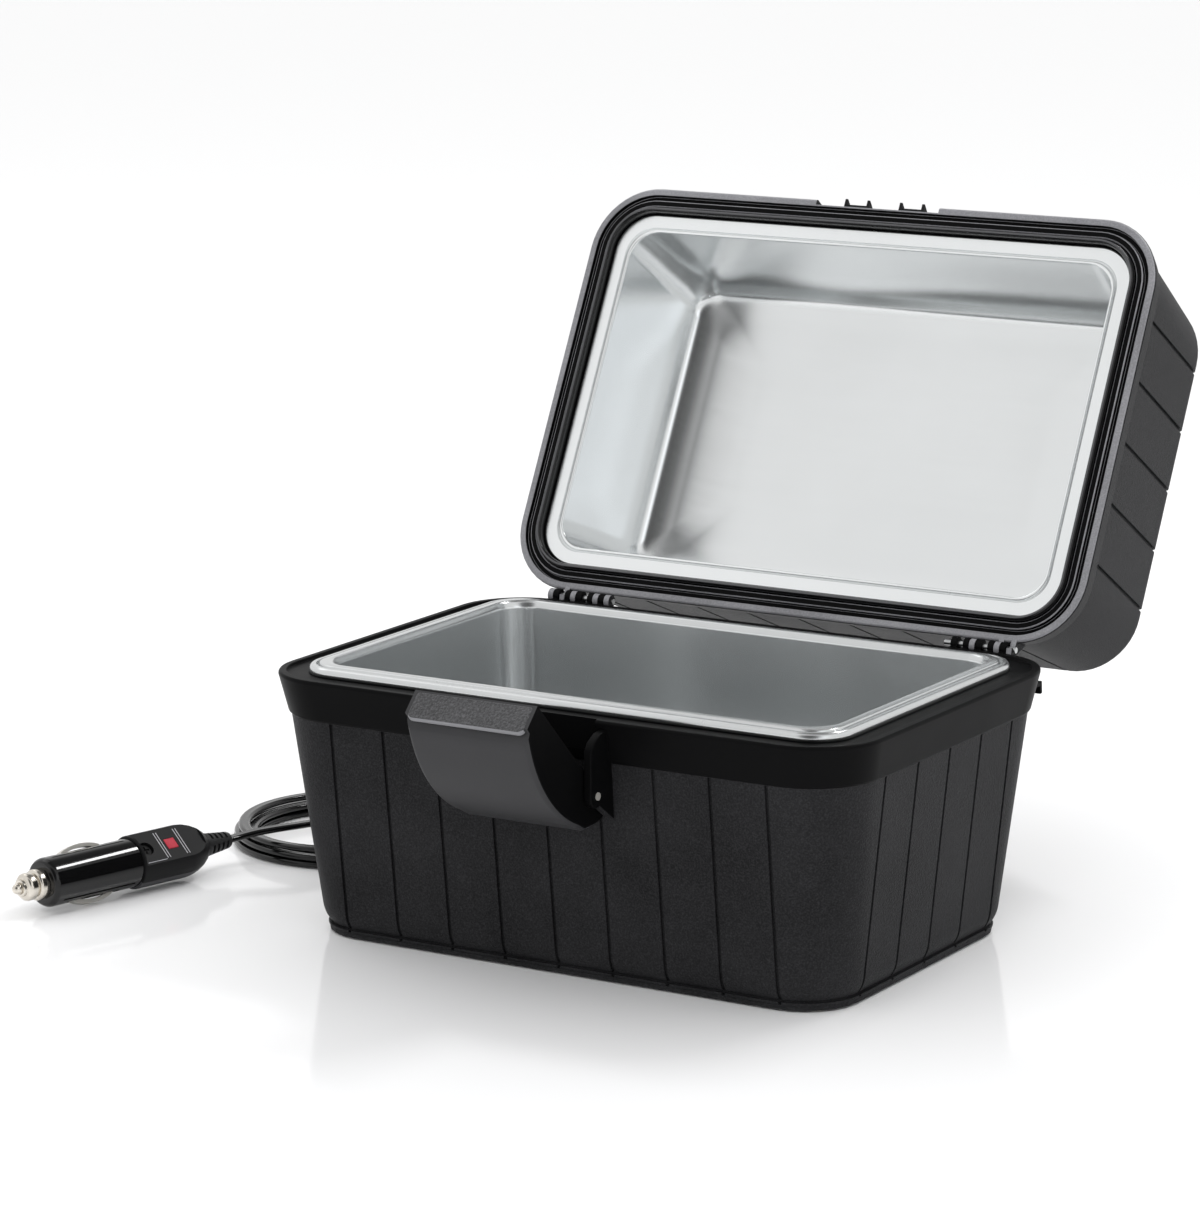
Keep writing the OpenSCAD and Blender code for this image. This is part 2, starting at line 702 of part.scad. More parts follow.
module lid_shell() {
    seat_z = lid_flange_z + sheet_t;
    color(black_shell) lid_opened() difference() {
        union() {
            lid_outside();
            mirrored_x() knuckle_row(0) lid_knuckle_profile();
        }
        lid_inside();
        sheet(lid_z - over, lid_flange_z + 3.7, opening_inset + 1, corner_r - opening_inset - 1);
        ring(lid_z - over, seat_z, ring_w - 3.2, opening_inset + 2);
        ring(lid_z - over, lid_z + 1.4, 3, 4.2);
        wall_grooves(lid_band_z, lid_top_z - 2.4, lid_inset(lid_band_z), lid_inset(lid_top_z - 2.4));
        difference() {
            translate([-notch_w / 2, -body_d / 2 - over, lid_z - over])
                cube([notch_w, notch_depth + over, lid_band_h + 2]);
            mirrored_x() translate([catch_x, 0, 0]) lid_catch();
        }
        mirrored_x() axle(hinge_reach - 15, hinge_y, hinge_z, 60, hinge_pin_d / 2 + fit);
    }
    color(black_shell) lid_opened() mirrored_x() translate([catch_x, 0, 0]) lid_catch();
}

module lid_pan(outset, low_z) {
    roof_z = lid_pan_top_z - (outset > 0 ? 0 : sheet_t);
    knee_z = roof_z - pan_floor_r;
    function side(z) = lid_pan_inset + (z - lid_flange_z) * lid_pan_lean;
    loft(concat(
        [[low_z, side(low_z) - outset, pan_corner_r]],
        [for (a = [0:15:90])
            [knee_z + pan_floor_r * sin(a), side(knee_z) - outset + pan_floor_r * (1 - cos(a)),
             pan_corner_r]]));
}

module lid_liner() {
    color(bare_aluminium) lid_opened() difference() {
        union() {
            sheet(lid_flange_z, lid_flange_z + sheet_t, ring_w - 0.4, corner_r - ring_w);
            lid_pan(sheet_t, lid_flange_z + 0.1);
        }
        lid_pan(0, lid_flange_z - over);
    }
}

module lid_gasket() {
    outer = ring_w - 3;
    inner = ring_w - 0.6;
    color(black_rubber) lid_opened() {
        ring(lid_z - 2, lid_flange_z + sheet_t, outer + 0.3, inner - 0.3);
        ring(lid_z - 1.4, lid_flange_z + sheet_t - 0.1, outer, inner);
    }
}

module lid_insulation() {
    color(glass_wool) lid_opened()
        sheet(lid_pan_top_z + rest_gap, lid_top_z - shell_t - 1, lid_pan_inset + 20, 12);
}

module hinge_pins() {
    color(steel) mirrored_x()
        axle(hinge_reach - knuckle_count * knuckle_step / 2, hinge_y, hinge_z,
             knuckle_count * knuckle_step + 1.6, hinge_pin_d / 2);
}

// ---------------------------------------------------------------- latch, drawn shut

bulge_r = 57.8;
bulge_y = 40.6;
bulge_z = 19.6;
latch_back = 4.7;
lip_t = 2.4;

function bulge(z, r) = bulge_y - sqrt(r * r - (z - bulge_z) * (z - bulge_z));

function latch_outline(inset) =
    concat([for (z = [-2:6.5:latch_h - lip_t]) [bulge(z, bulge_r - inset), z]],
           [[bulge(latch_h - lip_t, bulge_r - inset), latch_h - lip_t]]);

module latch_outside() {
    polygon(concat(latch_outline(0),
        [[-9.4, latch_h - lip_t], [-9.6, latch_h - 1], [-8.2, latch_h], [latch_back, latch_h],
         [latch_back, 0], [5.4, -7], [1.5, -14.9], [-8, -10.4], [-11.5, -7]]));
}

module latch_inside() {
    polygon(concat(latch_outline(latch_t),
        [[latch_back + 1, latch_h - lip_t], [latch_back + 1, 7], [1, 5.5], [-3, 4.6], [-7, 0]]));
}

module latch_hook() {
    hook_z = catch_z + 2.7 - latch_z;
    polygon([[-17, hook_z], [latch_y * 0 + 7.8, hook_z], [7.8, hook_z + 1.4], [3, hook_z + 2.6],
             [-10, hook_z + 4], [-17, hook_z + 4]]);
}

module latch_flap() {
    color([0.12, 0.12, 0.12]) latch_opened() translate([0, latch_y, latch_z]) {
        difference() {
            across(0, latch_w) latch_outside();
            across(0, latch_w - 2 * latch_t) latch_inside();
            axle(0, 0, 0, latch_w + 2, latch_pin_d / 2 + fit);
        }
        for (side = [-1, 1])
            intersection() {
                across(side * catch_x, catch_w - 2 * gusset_t - 1) latch_hook();
                across(0, latch_w) union() {
                    latch_outside();
                    translate([0, 30]) square([20, 20]);
                }
            }
    }
}

module latch_pin() {
    color(nickel) axle(0, latch_y, latch_z, notch_w + 2 * ear_t - 2, latch_pin_d / 2);
}

// ---------------------------------------------------------------- lead

module cord_bushing() {
    neck = collar_y - inner_face_y;
    color(black_rubber) translate([gland_x, inner_face_y, gland_z]) rotate([-90, 0, 0])
        rotate_extrude() polygon([[0, -1.8], [7, -1.8], [7, 0], [4.9, 0], [4.9, neck], [7.4, neck],
                                  [7.4, neck + 2], [5.6, neck + 3.2], [3.4, neck + bushing_l],
                                  [0, neck + bushing_l]]);
}

module cord_lead() {
    start = [gland_x, collar_y + bushing_l, gland_z];
    color(black_rubber)
        tube(concat([start], [for (i = [1:len(lead_route) - 1]) lead_route[i]]), cord_d / 2, 8, 2);
}

module cord_coil() {
    color(black_rubber) translate([coil_x, coil_y, 0]) rotate_extrude()
        translate([coil_r - coil_bundle_w / 2, 0.05])
            polygon([[2, 0], [coil_bundle_w - 2, 0], [coil_bundle_w, 2],
                     [coil_bundle_w, coil_bundle_h - 2], [coil_bundle_w - 2, coil_bundle_h],
                     [2, coil_bundle_h], [0, coil_bundle_h - 2], [0, 2]]);
}

module cord_tail() {
    color(black_rubber) tube(tail_route, cord_d / 2, 8, 2);
}

// ---------------------------------------------------------------- plug

// The plug's own frame: along X from its tip, its side contacts towards Y
module plug_placed() {
    translate([plug_tip_x, plug_tip_y, plug_z]) rotate([0, 0, plug_turn]) rotate([plug_roll, 0, 0])
        children();
}

// The housing's own frame: its flat face is towards Z
module housing_placed() {
    plug_placed() rotate([housing_turn, 0, 0]) children();
}

// A turned shape along X from points [distance from the tip, radius]
module turned(points) {
    rotate([0, 90, 0]) rotate_extrude() polygon([for (p = points) [p[1], p[0]]]);
}

module plug_boot() {
    color(black_rubber) plug_placed() difference() {
        turned([[boot_x, 0], [boot_x, 5], [boot_x + 2, 4.8], [boot_x + boot_l, 3.2],
                [boot_x + boot_l, 0]]);
        for (x = [boot_x + 3.4, boot_x + 6.6, boot_x + 9.8], a = [0:90:270])
            rotate([a, 0, 0]) translate([x, -1.8, 3]) cube([1.5, 3.6, 3]);
    }
}

module plug_housing_solid() {
    difference() {
        turned([[housing_x, 0], [housing_x, housing_r], [boot_x - 12, housing_r],
                [boot_x - 6, housing_r - 1.2], [boot_x - 2, housing_r - 3.2], [boot_x, 5.2],
                [boot_x, 0]]);
        translate([housing_x + 1, -housing_r, housing_flat])
            cube([housing_l - 5, 2 * housing_r, housing_r]);
        turned([[housing_x - 1, 0], [housing_x - 1, 5.2], [housing_x + 1.5, 5.2],
                [housing_x + 1.5, 0]]);
    }
}

screw_x = housing_x + 5.5;
lamp_x = housing_x + 15.5;

module plug_housing_top() {
    color(black_shell) housing_placed() difference() {
        intersection() {
            plug_housing_solid();
            translate([housing_x - 1, -20, 0.02]) cube([housing_l + 2, 40, 20]);
        }
        translate([screw_x, 0, -1]) cylinder(h = 20, r = 1.5);
        translate([screw_x, 0, housing_flat - 2.6]) cylinder(h = 10, r = 3.2);
        translate([lamp_x, -2.6, housing_flat - 2.2]) cube([5.4, 5.2, 5]);
    }
}

module plug_housing_bottom() {
    color(black_shell) housing_placed() difference() {
        intersection() {
            plug_housing_solid();
            translate([housing_x - 1, -20, -20.02]) cube([housing_l + 2, 40, 20]);
        }
        translate([screw_x, 0, -5]) cylinder(h = 20, r = 1.35 + fit);
    }
}

module plug_screw() {
    head_z = housing_flat - 2.5;
    color(nickel) housing_placed() translate([screw_x, 0, 0]) {
        translate([0, 0, -4.4]) cylinder(h = head_z + 4.5, r = 1.35);
        translate([0, 0, head_z]) difference() {
            cylinder(h = 1.4, r = 2.7);
            translate([-1.8, -0.4, 0.8]) cube([3.6, 0.8, 1]);
            translate([-0.4, -1.8, 0.8]) cube([0.8, 3.6, 1]);
        }
    }
}

module plug_lamp() {
    color([0.75, 0.08, 0.1]) housing_placed()
        translate([lamp_x + 0.1, -2.5, housing_flat - 2.1]) cube([5.2, 5, 2.2]);
}

module contact_profile(inset) {
    half = contact_t;
    polygon([[contact_x - inset, contact_low_r], [contact_x + 6, contact_high_r],
             [contact_x + contact_l - 6, contact_high_r], [contact_x + contact_l + inset, contact_low_r],
             [contact_x + contact_l - 2, contact_low_r - 0.2], [contact_x + contact_l - 7, contact_high_r - half],
             [contact_x + 7, contact_high_r - half], [contact_x + 2, contact_low_r - 0.2]]);
}

module plug_barrel() {
    color(black_gloss) plug_placed() difference() {
        turned([[barrel_x, 0], [barrel_x, barrel_r - 1.4], [barrel_x + 1.6, barrel_r],
                [housing_x - 0.1, barrel_r], [housing_x - 0.1, 0]]);
        turned([[barrel_x - 1, 0], [barrel_x - 1, 6.1], [barrel_x + 5.8, 6.1],
                [barrel_x + 5.8, fuse_bore_r], [fuse_x + fuse_l + spring_l + 4, fuse_bore_r],
                [fuse_x + fuse_l + spring_l + 4, 0]]);
        for (side = [-1, 1])
            translate([contact_x - 2, side > 0 ? contact_low_r - contact_travel - 0.9 : -20, -contact_w / 2 - 0.4])
                cube([contact_l + 4, 20 - (contact_low_r - contact_travel - 0.9), contact_w + 0.8]);
    }
}

module plug_nose_cap() {
    color(nickel) plug_placed() difference() {
        turned([[cap_x, 0], [cap_x, 4.4], [cap_x + 0.5, 4.9], [cap_ring_x, 4.9],
                [cap_ring_x, 5.6], [cap_ring_x + 1.2, 7], [barrel_x - 4.2, 7],
                [barrel_x - 3.8, 6.5], [barrel_x - 3.4, 7], [barrel_x - 0.1, 7],
                [barrel_x - 0.1, 6], [barrel_x + 5.6, 6], [barrel_x + 5.6, 0]]);
        turned([[cap_x - 1, 0], [cap_x - 1, 2.3], [cap_x + 1.6, 2.3], [cap_x + 1.6, fuse_bore_r - 0.2],
                [barrel_x + 7, fuse_bore_r - 0.2], [barrel_x + 7, 0]]);
    }
}

module plug_tip() {
    color(nickel) plug_placed()
        turned([[0, 0], [0.3, 1.2], [1, 1.9], [1.8, 2.2], [cap_x + 1.8, 2.2],
                [cap_x + 1.8, 3.6], [fuse_x, 3.6], [fuse_x, 0]]);
}

module plug_fuse() {
    color([0.8, 0.85, 0.85]) plug_placed()
        turned([[fuse_x + 0.02, 0], [fuse_x + 0.02, 3.2], [fuse_x + 6, 3.2], [fuse_x + 6, 2.9],
                [fuse_x + fuse_l - 6, 2.9], [fuse_x + fuse_l - 6, 3.2],
                [fuse_x + fuse_l, 3.2], [fuse_x + fuse_l, 0]]);
}

// The spring behind the fuse, as the sleeve that its turns fill
module plug_spring() {
    start = fuse_x + fuse_l + 0.1;
    color(steel) plug_placed() difference() {
        turned([[start, 0], [start, 3.6], [start + spring_l, 3.6], [start + spring_l, 0]]);
        turned([[start - 1, 0], [start - 1, 2.6], [start + spring_l + 1, 2.6], [start + spring_l + 1, 0]]);
    }
}

module plug_terminal() {
    start = fuse_x + fuse_l + spring_l + 0.2;
    color([0.8, 0.65, 0.3]) plug_placed()
        turned([[start, 0], [start, fuse_bore_r - 0.1], [start + 1.4, fuse_bore_r - 0.1],
                [start + 1.4, 1.4], [start + 3.6, 1.4], [start + 3.6, 0]]);
}

module side_contact() {
    translate([0, 0, -contact_w / 2]) linear_extrude(contact_w) contact_profile(0);
}

module plug_contact_right() {
    color(nickel) plug_placed() mirror([0, 1, 0]) side_contact();
}

module plug_contact_left() {
    color(nickel) plug_placed() side_contact();
}

// ---------------------------------------------------------------- nodes

base_shell();
base_liner();
base_insulation_sleeve();
base_insulation_pad();
heater_element();
heater_clamp();
clamp_nuts();
thermostat();
thermal_fuse();
thermostat_lead();
element_lead();
supply_lead_positive();
supply_lead_negative();
crimp_connectors();
bottom_cover();
cover_screws();
rubber_feet();
lid_shell();
lid_liner();
lid_gasket();
lid_insulation();
hinge_pins();
latch_flap();
latch_pin();
cord_bushing();
cord_lead();
cord_coil();
cord_tail();
plug_boot();
plug_housing_top();
plug_housing_bottom();
plug_screw();
plug_lamp();
plug_barrel();
plug_nose_cap();
plug_tip();
plug_fuse();
plug_spring();
plug_terminal();
plug_contact_right();
plug_contact_left();
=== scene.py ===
"""Looks of an electric lunch box: a black tub and lid lined with metal pans, a latch, a lead and a plug.

Lengths inside the makers are millimetres. A mesh is scaled to metres as it becomes an object.
"""

from __future__ import annotations

import logging
import math
from dataclasses import dataclass, field
from enum import Enum
from typing import Callable, Iterable, Sequence

import bmesh
import bpy
from mathutils import Matrix, Vector

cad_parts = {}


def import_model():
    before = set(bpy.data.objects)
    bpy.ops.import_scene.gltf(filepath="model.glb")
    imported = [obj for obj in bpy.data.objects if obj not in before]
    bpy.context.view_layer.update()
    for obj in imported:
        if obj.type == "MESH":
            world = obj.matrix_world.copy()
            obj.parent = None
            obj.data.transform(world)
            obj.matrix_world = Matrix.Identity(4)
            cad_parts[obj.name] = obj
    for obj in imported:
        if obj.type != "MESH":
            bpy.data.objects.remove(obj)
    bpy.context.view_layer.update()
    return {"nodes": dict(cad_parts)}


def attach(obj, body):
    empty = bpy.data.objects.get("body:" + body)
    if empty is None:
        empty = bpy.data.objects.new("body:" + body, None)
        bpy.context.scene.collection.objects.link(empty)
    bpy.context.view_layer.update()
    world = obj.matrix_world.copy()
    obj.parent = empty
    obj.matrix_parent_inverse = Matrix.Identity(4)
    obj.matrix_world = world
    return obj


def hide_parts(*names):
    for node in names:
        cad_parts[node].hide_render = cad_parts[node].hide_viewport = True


LOG = logging.getLogger("lunch_box")
MM = 0.001
TAU = 2.0 * math.pi

Point = tuple[float, float, float]
Flat = tuple[float, float]
Tone = tuple[float, float, float, float]


# ------------------------------------------------------------------ named choices


class Side(Enum):
    """One of the four upright walls, by the way it faces."""

    FRONT = (0.0, -1.0, 0.0)
    BACK = (0.0, 1.0, 0.0)
    LEFT = (-1.0, 0.0, 0.0)
    RIGHT = (1.0, 0.0, 0.0)

    @property
    def out(self) -> Vector:
        """The wall's outward direction."""
        return Vector(self.value)

    @property
    def along(self) -> Vector:
        """The level direction that runs along the wall."""
        return Vector((1, 0, 0)) if self in (Side.FRONT, Side.BACK) else Vector((0, 1, 0))


class Body(Enum):
    """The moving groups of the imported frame."""

    BASE = "base"
    LID = "lid"
    LATCH = "latch"
    TIP = "plug_tip"
    CONTACT_RIGHT = "contact_right"
    CONTACT_LEFT = "contact_left"


# ------------------------------------------------------------------ node groups


class GroupMaker:
    """Builds one shader node group with named inputs and outputs."""

    def __init__(self, name: str) -> None:
        """Starts an empty group.

        Args:
            name: the group's name.
        """
        self.tree = bpy.data.node_groups.new(name, "ShaderNodeTree")
        self.entry = self.tree.nodes.new("NodeGroupInput")
        self.exit = self.tree.nodes.new("NodeGroupOutput")

    def takes(self, name: str, kind: str, default: object) -> None:
        """Adds an input.

        Args:
            name: the input's name.
            kind: Float, Color or Vector.
            default: the value it has until a material sets it.
        """
        socket = self.tree.interface.new_socket(name, in_out="INPUT", socket_type=f"NodeSocket{kind}")
        socket.default_value = default

    def gives(self, name: str, kind: str) -> None:
        """Adds an output called name of that kind."""
        self.tree.interface.new_socket(name, in_out="OUTPUT", socket_type=f"NodeSocket{kind}")

    def node(self, kind: str, **settings: object) -> bpy.types.Node:
        """Adds a node.

        Args:
            kind: the node type without its ShaderNode prefix.
            settings: attributes to set on it.

        Returns:
            The new node.
        """
        made = self.tree.nodes.new(f"ShaderNode{kind}")
        for key, value in settings.items():
            setattr(made, key, value)
        return made

    def link(self, source: bpy.types.NodeSocket, target: bpy.types.NodeSocket) -> None:
        """Joins two sockets."""
        self.tree.links.new(source, target)


def moulded_grain() -> bpy.types.NodeTree:
    """Builds the group for spark-eroded plastic: fine pits, faint flow marks and handling sheen.

    Returns:
        The group, with Color, Roughness and Height outputs.
    """
    made = GroupMaker("moulded_grain")
    for name, kind, value in (
        ("Tone", "Color", (0.02, 0.02, 0.022, 1)),
        ("Worn Tone", "Color", (0.04, 0.04, 0.043, 1)),
        ("Grain", "Float", 1500.0),
        ("Gloss", "Float", 0.4),
        ("Dullness", "Float", 0.55),
        ("Speckle", "Float", 0.5),
    ):
        made.takes(name, kind, value)
    for name, kind in (("Color", "Color"), ("Roughness", "Float"), ("Height", "Float")):
        made.gives(name, kind)
    place = made.node("TexCoord")
    pits = made.node("TexNoise", noise_dimensions="3D")
    pits.inputs["Detail"].default_value = 3.0
    pits.inputs["Roughness"].default_value = 0.65
    cells = made.node("TexVoronoi", feature="F1")
    flow = made.node("TexNoise", noise_dimensions="3D")
    flow.inputs["Scale"].default_value = 28.0
    flow.inputs["Detail"].default_value = 4.0
    for target in (pits, cells, flow):
        made.link(place.outputs["Object"], target.inputs["Vector"])
    made.link(made.entry.outputs["Grain"], pits.inputs["Scale"])
    made.link(made.entry.outputs["Grain"], cells.inputs["Scale"])
    height = made.node("Math", operation="MULTIPLY_ADD")
    made.link(cells.outputs["Distance"], height.inputs[0])
    height.inputs[1].default_value = 0.6
    made.link(pits.outputs["Fac"], height.inputs[2])
    made.link(height.outputs[0], made.exit.inputs["Height"])
    specks = made.node("MapRange")
    made.link(pits.outputs["Fac"], specks.inputs["Value"])
    specks.inputs["From Min"].default_value = 0.42
    specks.inputs["From Max"].default_value = 0.72
    amount = made.node("Math", operation="MULTIPLY")
    made.link(specks.outputs["Result"], amount.inputs[0])
    made.link(made.entry.outputs["Speckle"], amount.inputs[1])
    drift = made.node("MapRange")
    made.link(flow.outputs["Fac"], drift.inputs["Value"])
    drift.inputs["From Min"].default_value = 0.35
    drift.inputs["From Max"].default_value = 0.7
    share = made.node("Math", operation="MULTIPLY_ADD")
    made.link(drift.outputs["Result"], share.inputs[0])
    share.inputs[1].default_value = 0.35
    made.link(amount.outputs[0], share.inputs[2])
    share.use_clamp = True
    colour = made.node("Mix", data_type="RGBA")
    made.link(share.outputs[0], colour.inputs["Factor"])
    made.link(made.entry.outputs["Tone"], colour.inputs[6])
    made.link(made.entry.outputs["Worn Tone"], colour.inputs[7])
    made.link(colour.outputs[2], made.exit.inputs["Color"])
    sheen = made.node("Mix", data_type="FLOAT")
    made.link(flow.outputs["Fac"], sheen.inputs["Factor"])
    made.link(made.entry.outputs["Gloss"], sheen.inputs[2])
    made.link(made.entry.outputs["Dullness"], sheen.inputs[3])
    made.link(sheen.outputs[0], made.exit.inputs["Roughness"])
    return made.tree


def rolled_sheet() -> bpy.types.NodeTree:
    """Builds the group for rolled or plated metal: fine drawn lines, cloudy wiping marks and small dents.

    Returns:
        The group, with Color, Roughness and Height outputs.
    """
    made = GroupMaker("rolled_sheet")
    for name, kind, value in (
        ("Tone", "Color", (0.8, 0.82, 0.83, 1)),
        ("Clouded Tone", "Color", (0.7, 0.72, 0.74, 1)),
        ("Line Stretch", "Vector", (900.0, 14.0, 900.0)),
        ("Gloss", "Float", 0.2),
        ("Dullness", "Float", 0.34),
        ("Wave", "Float", 18.0),
    ):
        made.takes(name, kind, value)
    for name, kind in (("Color", "Color"), ("Roughness", "Float"), ("Height", "Float")):
        made.gives(name, kind)
    place = made.node("TexCoord")
    stretch = made.node("VectorMath", operation="MULTIPLY")
    made.link(place.outputs["Object"], stretch.inputs[0])
    made.link(made.entry.outputs["Line Stretch"], stretch.inputs[1])
    lines = made.node("TexNoise", noise_dimensions="3D")
    lines.inputs["Scale"].default_value = 1.0
    lines.inputs["Detail"].default_value = 4.0
    made.link(stretch.outputs[0], lines.inputs["Vector"])
    clouds = made.node("TexNoise", noise_dimensions="3D")
    clouds.inputs["Detail"].default_value = 3.0
    made.link(place.outputs["Object"], clouds.inputs["Vector"])
    made.link(made.entry.outputs["Wave"], clouds.inputs["Scale"])
    colour = made.node("Mix", data_type="RGBA")
    made.link(clouds.outputs["Fac"], colour.inputs["Factor"])
    made.link(made.entry.outputs["Tone"], colour.inputs[6])
    made.link(made.entry.outputs["Clouded Tone"], colour.inputs[7])
    made.link(colour.outputs[2], made.exit.inputs["Color"])
    blend = made.node("Math", operation="MULTIPLY_ADD")
    made.link(lines.outputs["Fac"], blend.inputs[0])
    blend.inputs[1].default_value = 0.6
    half = made.node("Math", operation="MULTIPLY")
    made.link(clouds.outputs["Fac"], half.inputs[0])
    half.inputs[1].default_value = 0.4
    made.link(half.outputs[0], blend.inputs[2])
    sheen = made.node("Mix", data_type="FLOAT")
    made.link(blend.outputs[0], sheen.inputs["Factor"])
    made.link(made.entry.outputs["Gloss"], sheen.inputs[2])
    made.link(made.entry.outputs["Dullness"], sheen.inputs[3])
    made.link(sheen.outputs[0], made.exit.inputs["Roughness"])
    waves = made.node("Math", operation="MULTIPLY_ADD")
    made.link(clouds.outputs["Fac"], waves.inputs[0])
    waves.inputs[1].default_value = 6.0
    made.link(lines.outputs["Fac"], waves.inputs[2])
    made.link(waves.outputs[0], made.exit.inputs["Height"])
    return made.tree


def matted_fibre() -> bpy.types.NodeTree:
    """Builds the group for needled fibre and pressed sheet: tangled threads and soft lumps.

    Returns:
        The group, with Color, Roughness and Height outputs.
    """
    made = GroupMaker("matted_fibre")
    for name, kind, value in (
        ("Tone", "Color", (0.8, 0.76, 0.62, 1)),
        ("Deep Tone", "Color", (0.5, 0.45, 0.33, 1)),
        ("Thread", "Float", 700.0),
    ):
        made.takes(name, kind, value)
    for name, kind in (("Color", "Color"), ("Roughness", "Float"), ("Height", "Float")):
        made.gives(name, kind)
    place = made.node("TexCoord")
    threads = made.node("TexNoise", noise_dimensions="3D")
    threads.inputs["Detail"].default_value = 6.0
    threads.inputs["Distortion"].default_value = 2.5
    made.link(place.outputs["Object"], threads.inputs["Vector"])
    made.link(made.entry.outputs["Thread"], threads.inputs["Scale"])
    colour = made.node("Mix", data_type="RGBA")
    made.link(threads.outputs["Fac"], colour.inputs["Factor"])
    made.link(made.entry.outputs["Deep Tone"], colour.inputs[6])
    made.link(made.entry.outputs["Tone"], colour.inputs[7])
    made.link(colour.outputs[2], made.exit.inputs["Color"])
    rough = made.node("MapRange")
    made.link(threads.outputs["Fac"], rough.inputs["Value"])
    rough.inputs["To Min"].default_value = 0.7
    rough.inputs["To Max"].default_value = 1.0
    made.link(rough.outputs["Result"], made.exit.inputs["Roughness"])
    made.link(threads.outputs["Fac"], made.exit.inputs["Height"])
    return made.tree


class Effects:
    """The shared node groups, each built once."""

    _made: dict[str, bpy.types.NodeTree] = {}
    _makers: dict[str, Callable[[], bpy.types.NodeTree]] = {
        "moulded_grain": moulded_grain,
        "rolled_sheet": rolled_sheet,
        "matted_fibre": matted_fibre,
    }

    @classmethod
    def get(cls, name: str) -> bpy.types.NodeTree:
        """Returns the group called name, and builds it the first time."""
        if name not in cls._made:
            cls._made[name] = cls._makers[name]()
        return cls._made[name]


# ------------------------------------------------------------------ finishes


@dataclass(frozen=True)
class Finish:
    """A surface whose colour, roughness and relief come from one shared effect."""

    name: str
    slot: str
    effect: str
    values: tuple[tuple[str, object], ...]
    relief: float = 0.1
    relief_height: float = 0.0001
    metallic: float = 0.0
    specular: float = 0.5
    coat: float = 0.0
    coat_roughness: float = 0.1
    ior: float = 1.46

    def material(self) -> bpy.types.Material:
        """Builds the material, or returns it if it is made already.

        Returns:
            The material of this finish.
        """
        found = bpy.data.materials.get(self.name)
        if found is not None:
            return found
        made = bpy.data.materials.new(self.name)
        made.use_nodes = True
        tree = made.node_tree
        shader = tree.nodes["Principled BSDF"]
        effect = tree.nodes.new("ShaderNodeGroup")
        effect.node_tree = Effects.get(self.effect)
        for key, value in self.values:
            effect.inputs[key].default_value = value
        bump = tree.nodes.new("ShaderNodeBump")
        bump.inputs["Strength"].default_value = self.relief
        bump.inputs["Distance"].default_value = self.relief_height
        tree.links.new(effect.outputs["Height"], bump.inputs["Height"])
        tree.links.new(effect.outputs["Color"], shader.inputs["Base Color"])
        tree.links.new(effect.outputs["Roughness"], shader.inputs["Roughness"])
        tree.links.new(bump.outputs["Normal"], shader.inputs["Normal"])
        shader.inputs["Metallic"].default_value = self.metallic
        shader.inputs["Specular IOR Level"].default_value = self.specular
        shader.inputs["IOR"].default_value = self.ior
        shader.inputs["Coat Weight"].default_value = self.coat
        shader.inputs["Coat Roughness"].default_value = self.coat_roughness
        self.adjust(shader)
        return made

    def adjust(self, shader: bpy.types.Node) -> None:
        """Leaves the shader as it is; a special finish changes it."""


@dataclass(frozen=True)
class ClearFinish(Finish):
    """A see-through surface, such as a lens or a fuse's glass."""

    see_through: float = 1.0

    def adjust(self, shader: bpy.types.Node) -> None:
        """Lets light through the shader."""
        shader.inputs["Transmission Weight"].default_value = self.see_through


def grain(tone: float, worn: float, size: float, gloss: float, dull: float, speckle: float) -> tuple[tuple[str, object], ...]:
    """Gives the moulded grain's values for a neutral, slightly cool black or grey.

    Args:
        tone: how light the plastic is.
        worn: how light its pits and flow marks are.
        size: grains in a metre.
        gloss: the lowest roughness.
        dull: the highest roughness.
        speckle: how much the pits lighten the colour.

    Returns:
        Names and values of the effect's inputs.
    """
    return (
        ("Tone", (tone, tone, tone * 1.07, 1)),
        ("Worn Tone", (worn, worn, worn * 1.06, 1)),
        ("Grain", size),
        ("Gloss", gloss),
        ("Dullness", dull),
        ("Speckle", speckle),
    )


def sheet_values(tone: float, cloud: float, stretch: Point, gloss: float, dull: float, wave: float) -> tuple[tuple[str, object], ...]:
    """Gives the rolled sheet's values for a cool white metal.

    Args:
        tone: how bright the metal is.
        cloud: how bright it is where it is clouded.
        stretch: lines in a metre along each axis.
        gloss: the lowest roughness.
        dull: the highest roughness.
        wave: clouds in a metre.

    Returns:
        Names and values of the effect's inputs.
    """
    return (
        ("Tone", (tone * 0.98, tone, tone * 1.005, 1)),
        ("Clouded Tone", (cloud * 0.98, cloud, cloud * 1.005, 1)),
        ("Line Stretch", stretch),
        ("Gloss", gloss),
        ("Dullness", dull),
        ("Wave", wave),
    )


SHELL_GRAIN = Finish("shell_grain", "black_shell", "moulded_grain", grain(0.011, 0.037, 1500.0, 0.38, 0.52, 0.75), 0.9, 0.00024, specular=0.06)
# Smoother satin of the rim bands and the lid's ring face; on the latch flap's side faces it is painted shade.
RIM_SATIN_AND_SHADE = Finish("rim_satin_and_painted_shade", "black_shell", "moulded_grain", grain(0.003, 0.006, 2600.0, 0.36, 0.5, 0.2), 0.15, 0.00005, specular=0.05)
# Painted highlight: a much lighter copy of the shell's black plastic for the lid's rim lip and rounded ridges.
LIP_HIGHLIGHT = Finish("lip_painted_highlight", "black_shell", "moulded_grain", grain(0.18, 0.36, 1500.0, 0.3, 0.42, 0.5), 0.5, 0.00012, specular=0.5)
LATCH_SATIN = Finish("latch_satin", "latch_plastic", "moulded_grain", grain(0.034, 0.046, 2400.0, 0.42, 0.52, 0.2), 0.15, 0.00005, specular=0.28)
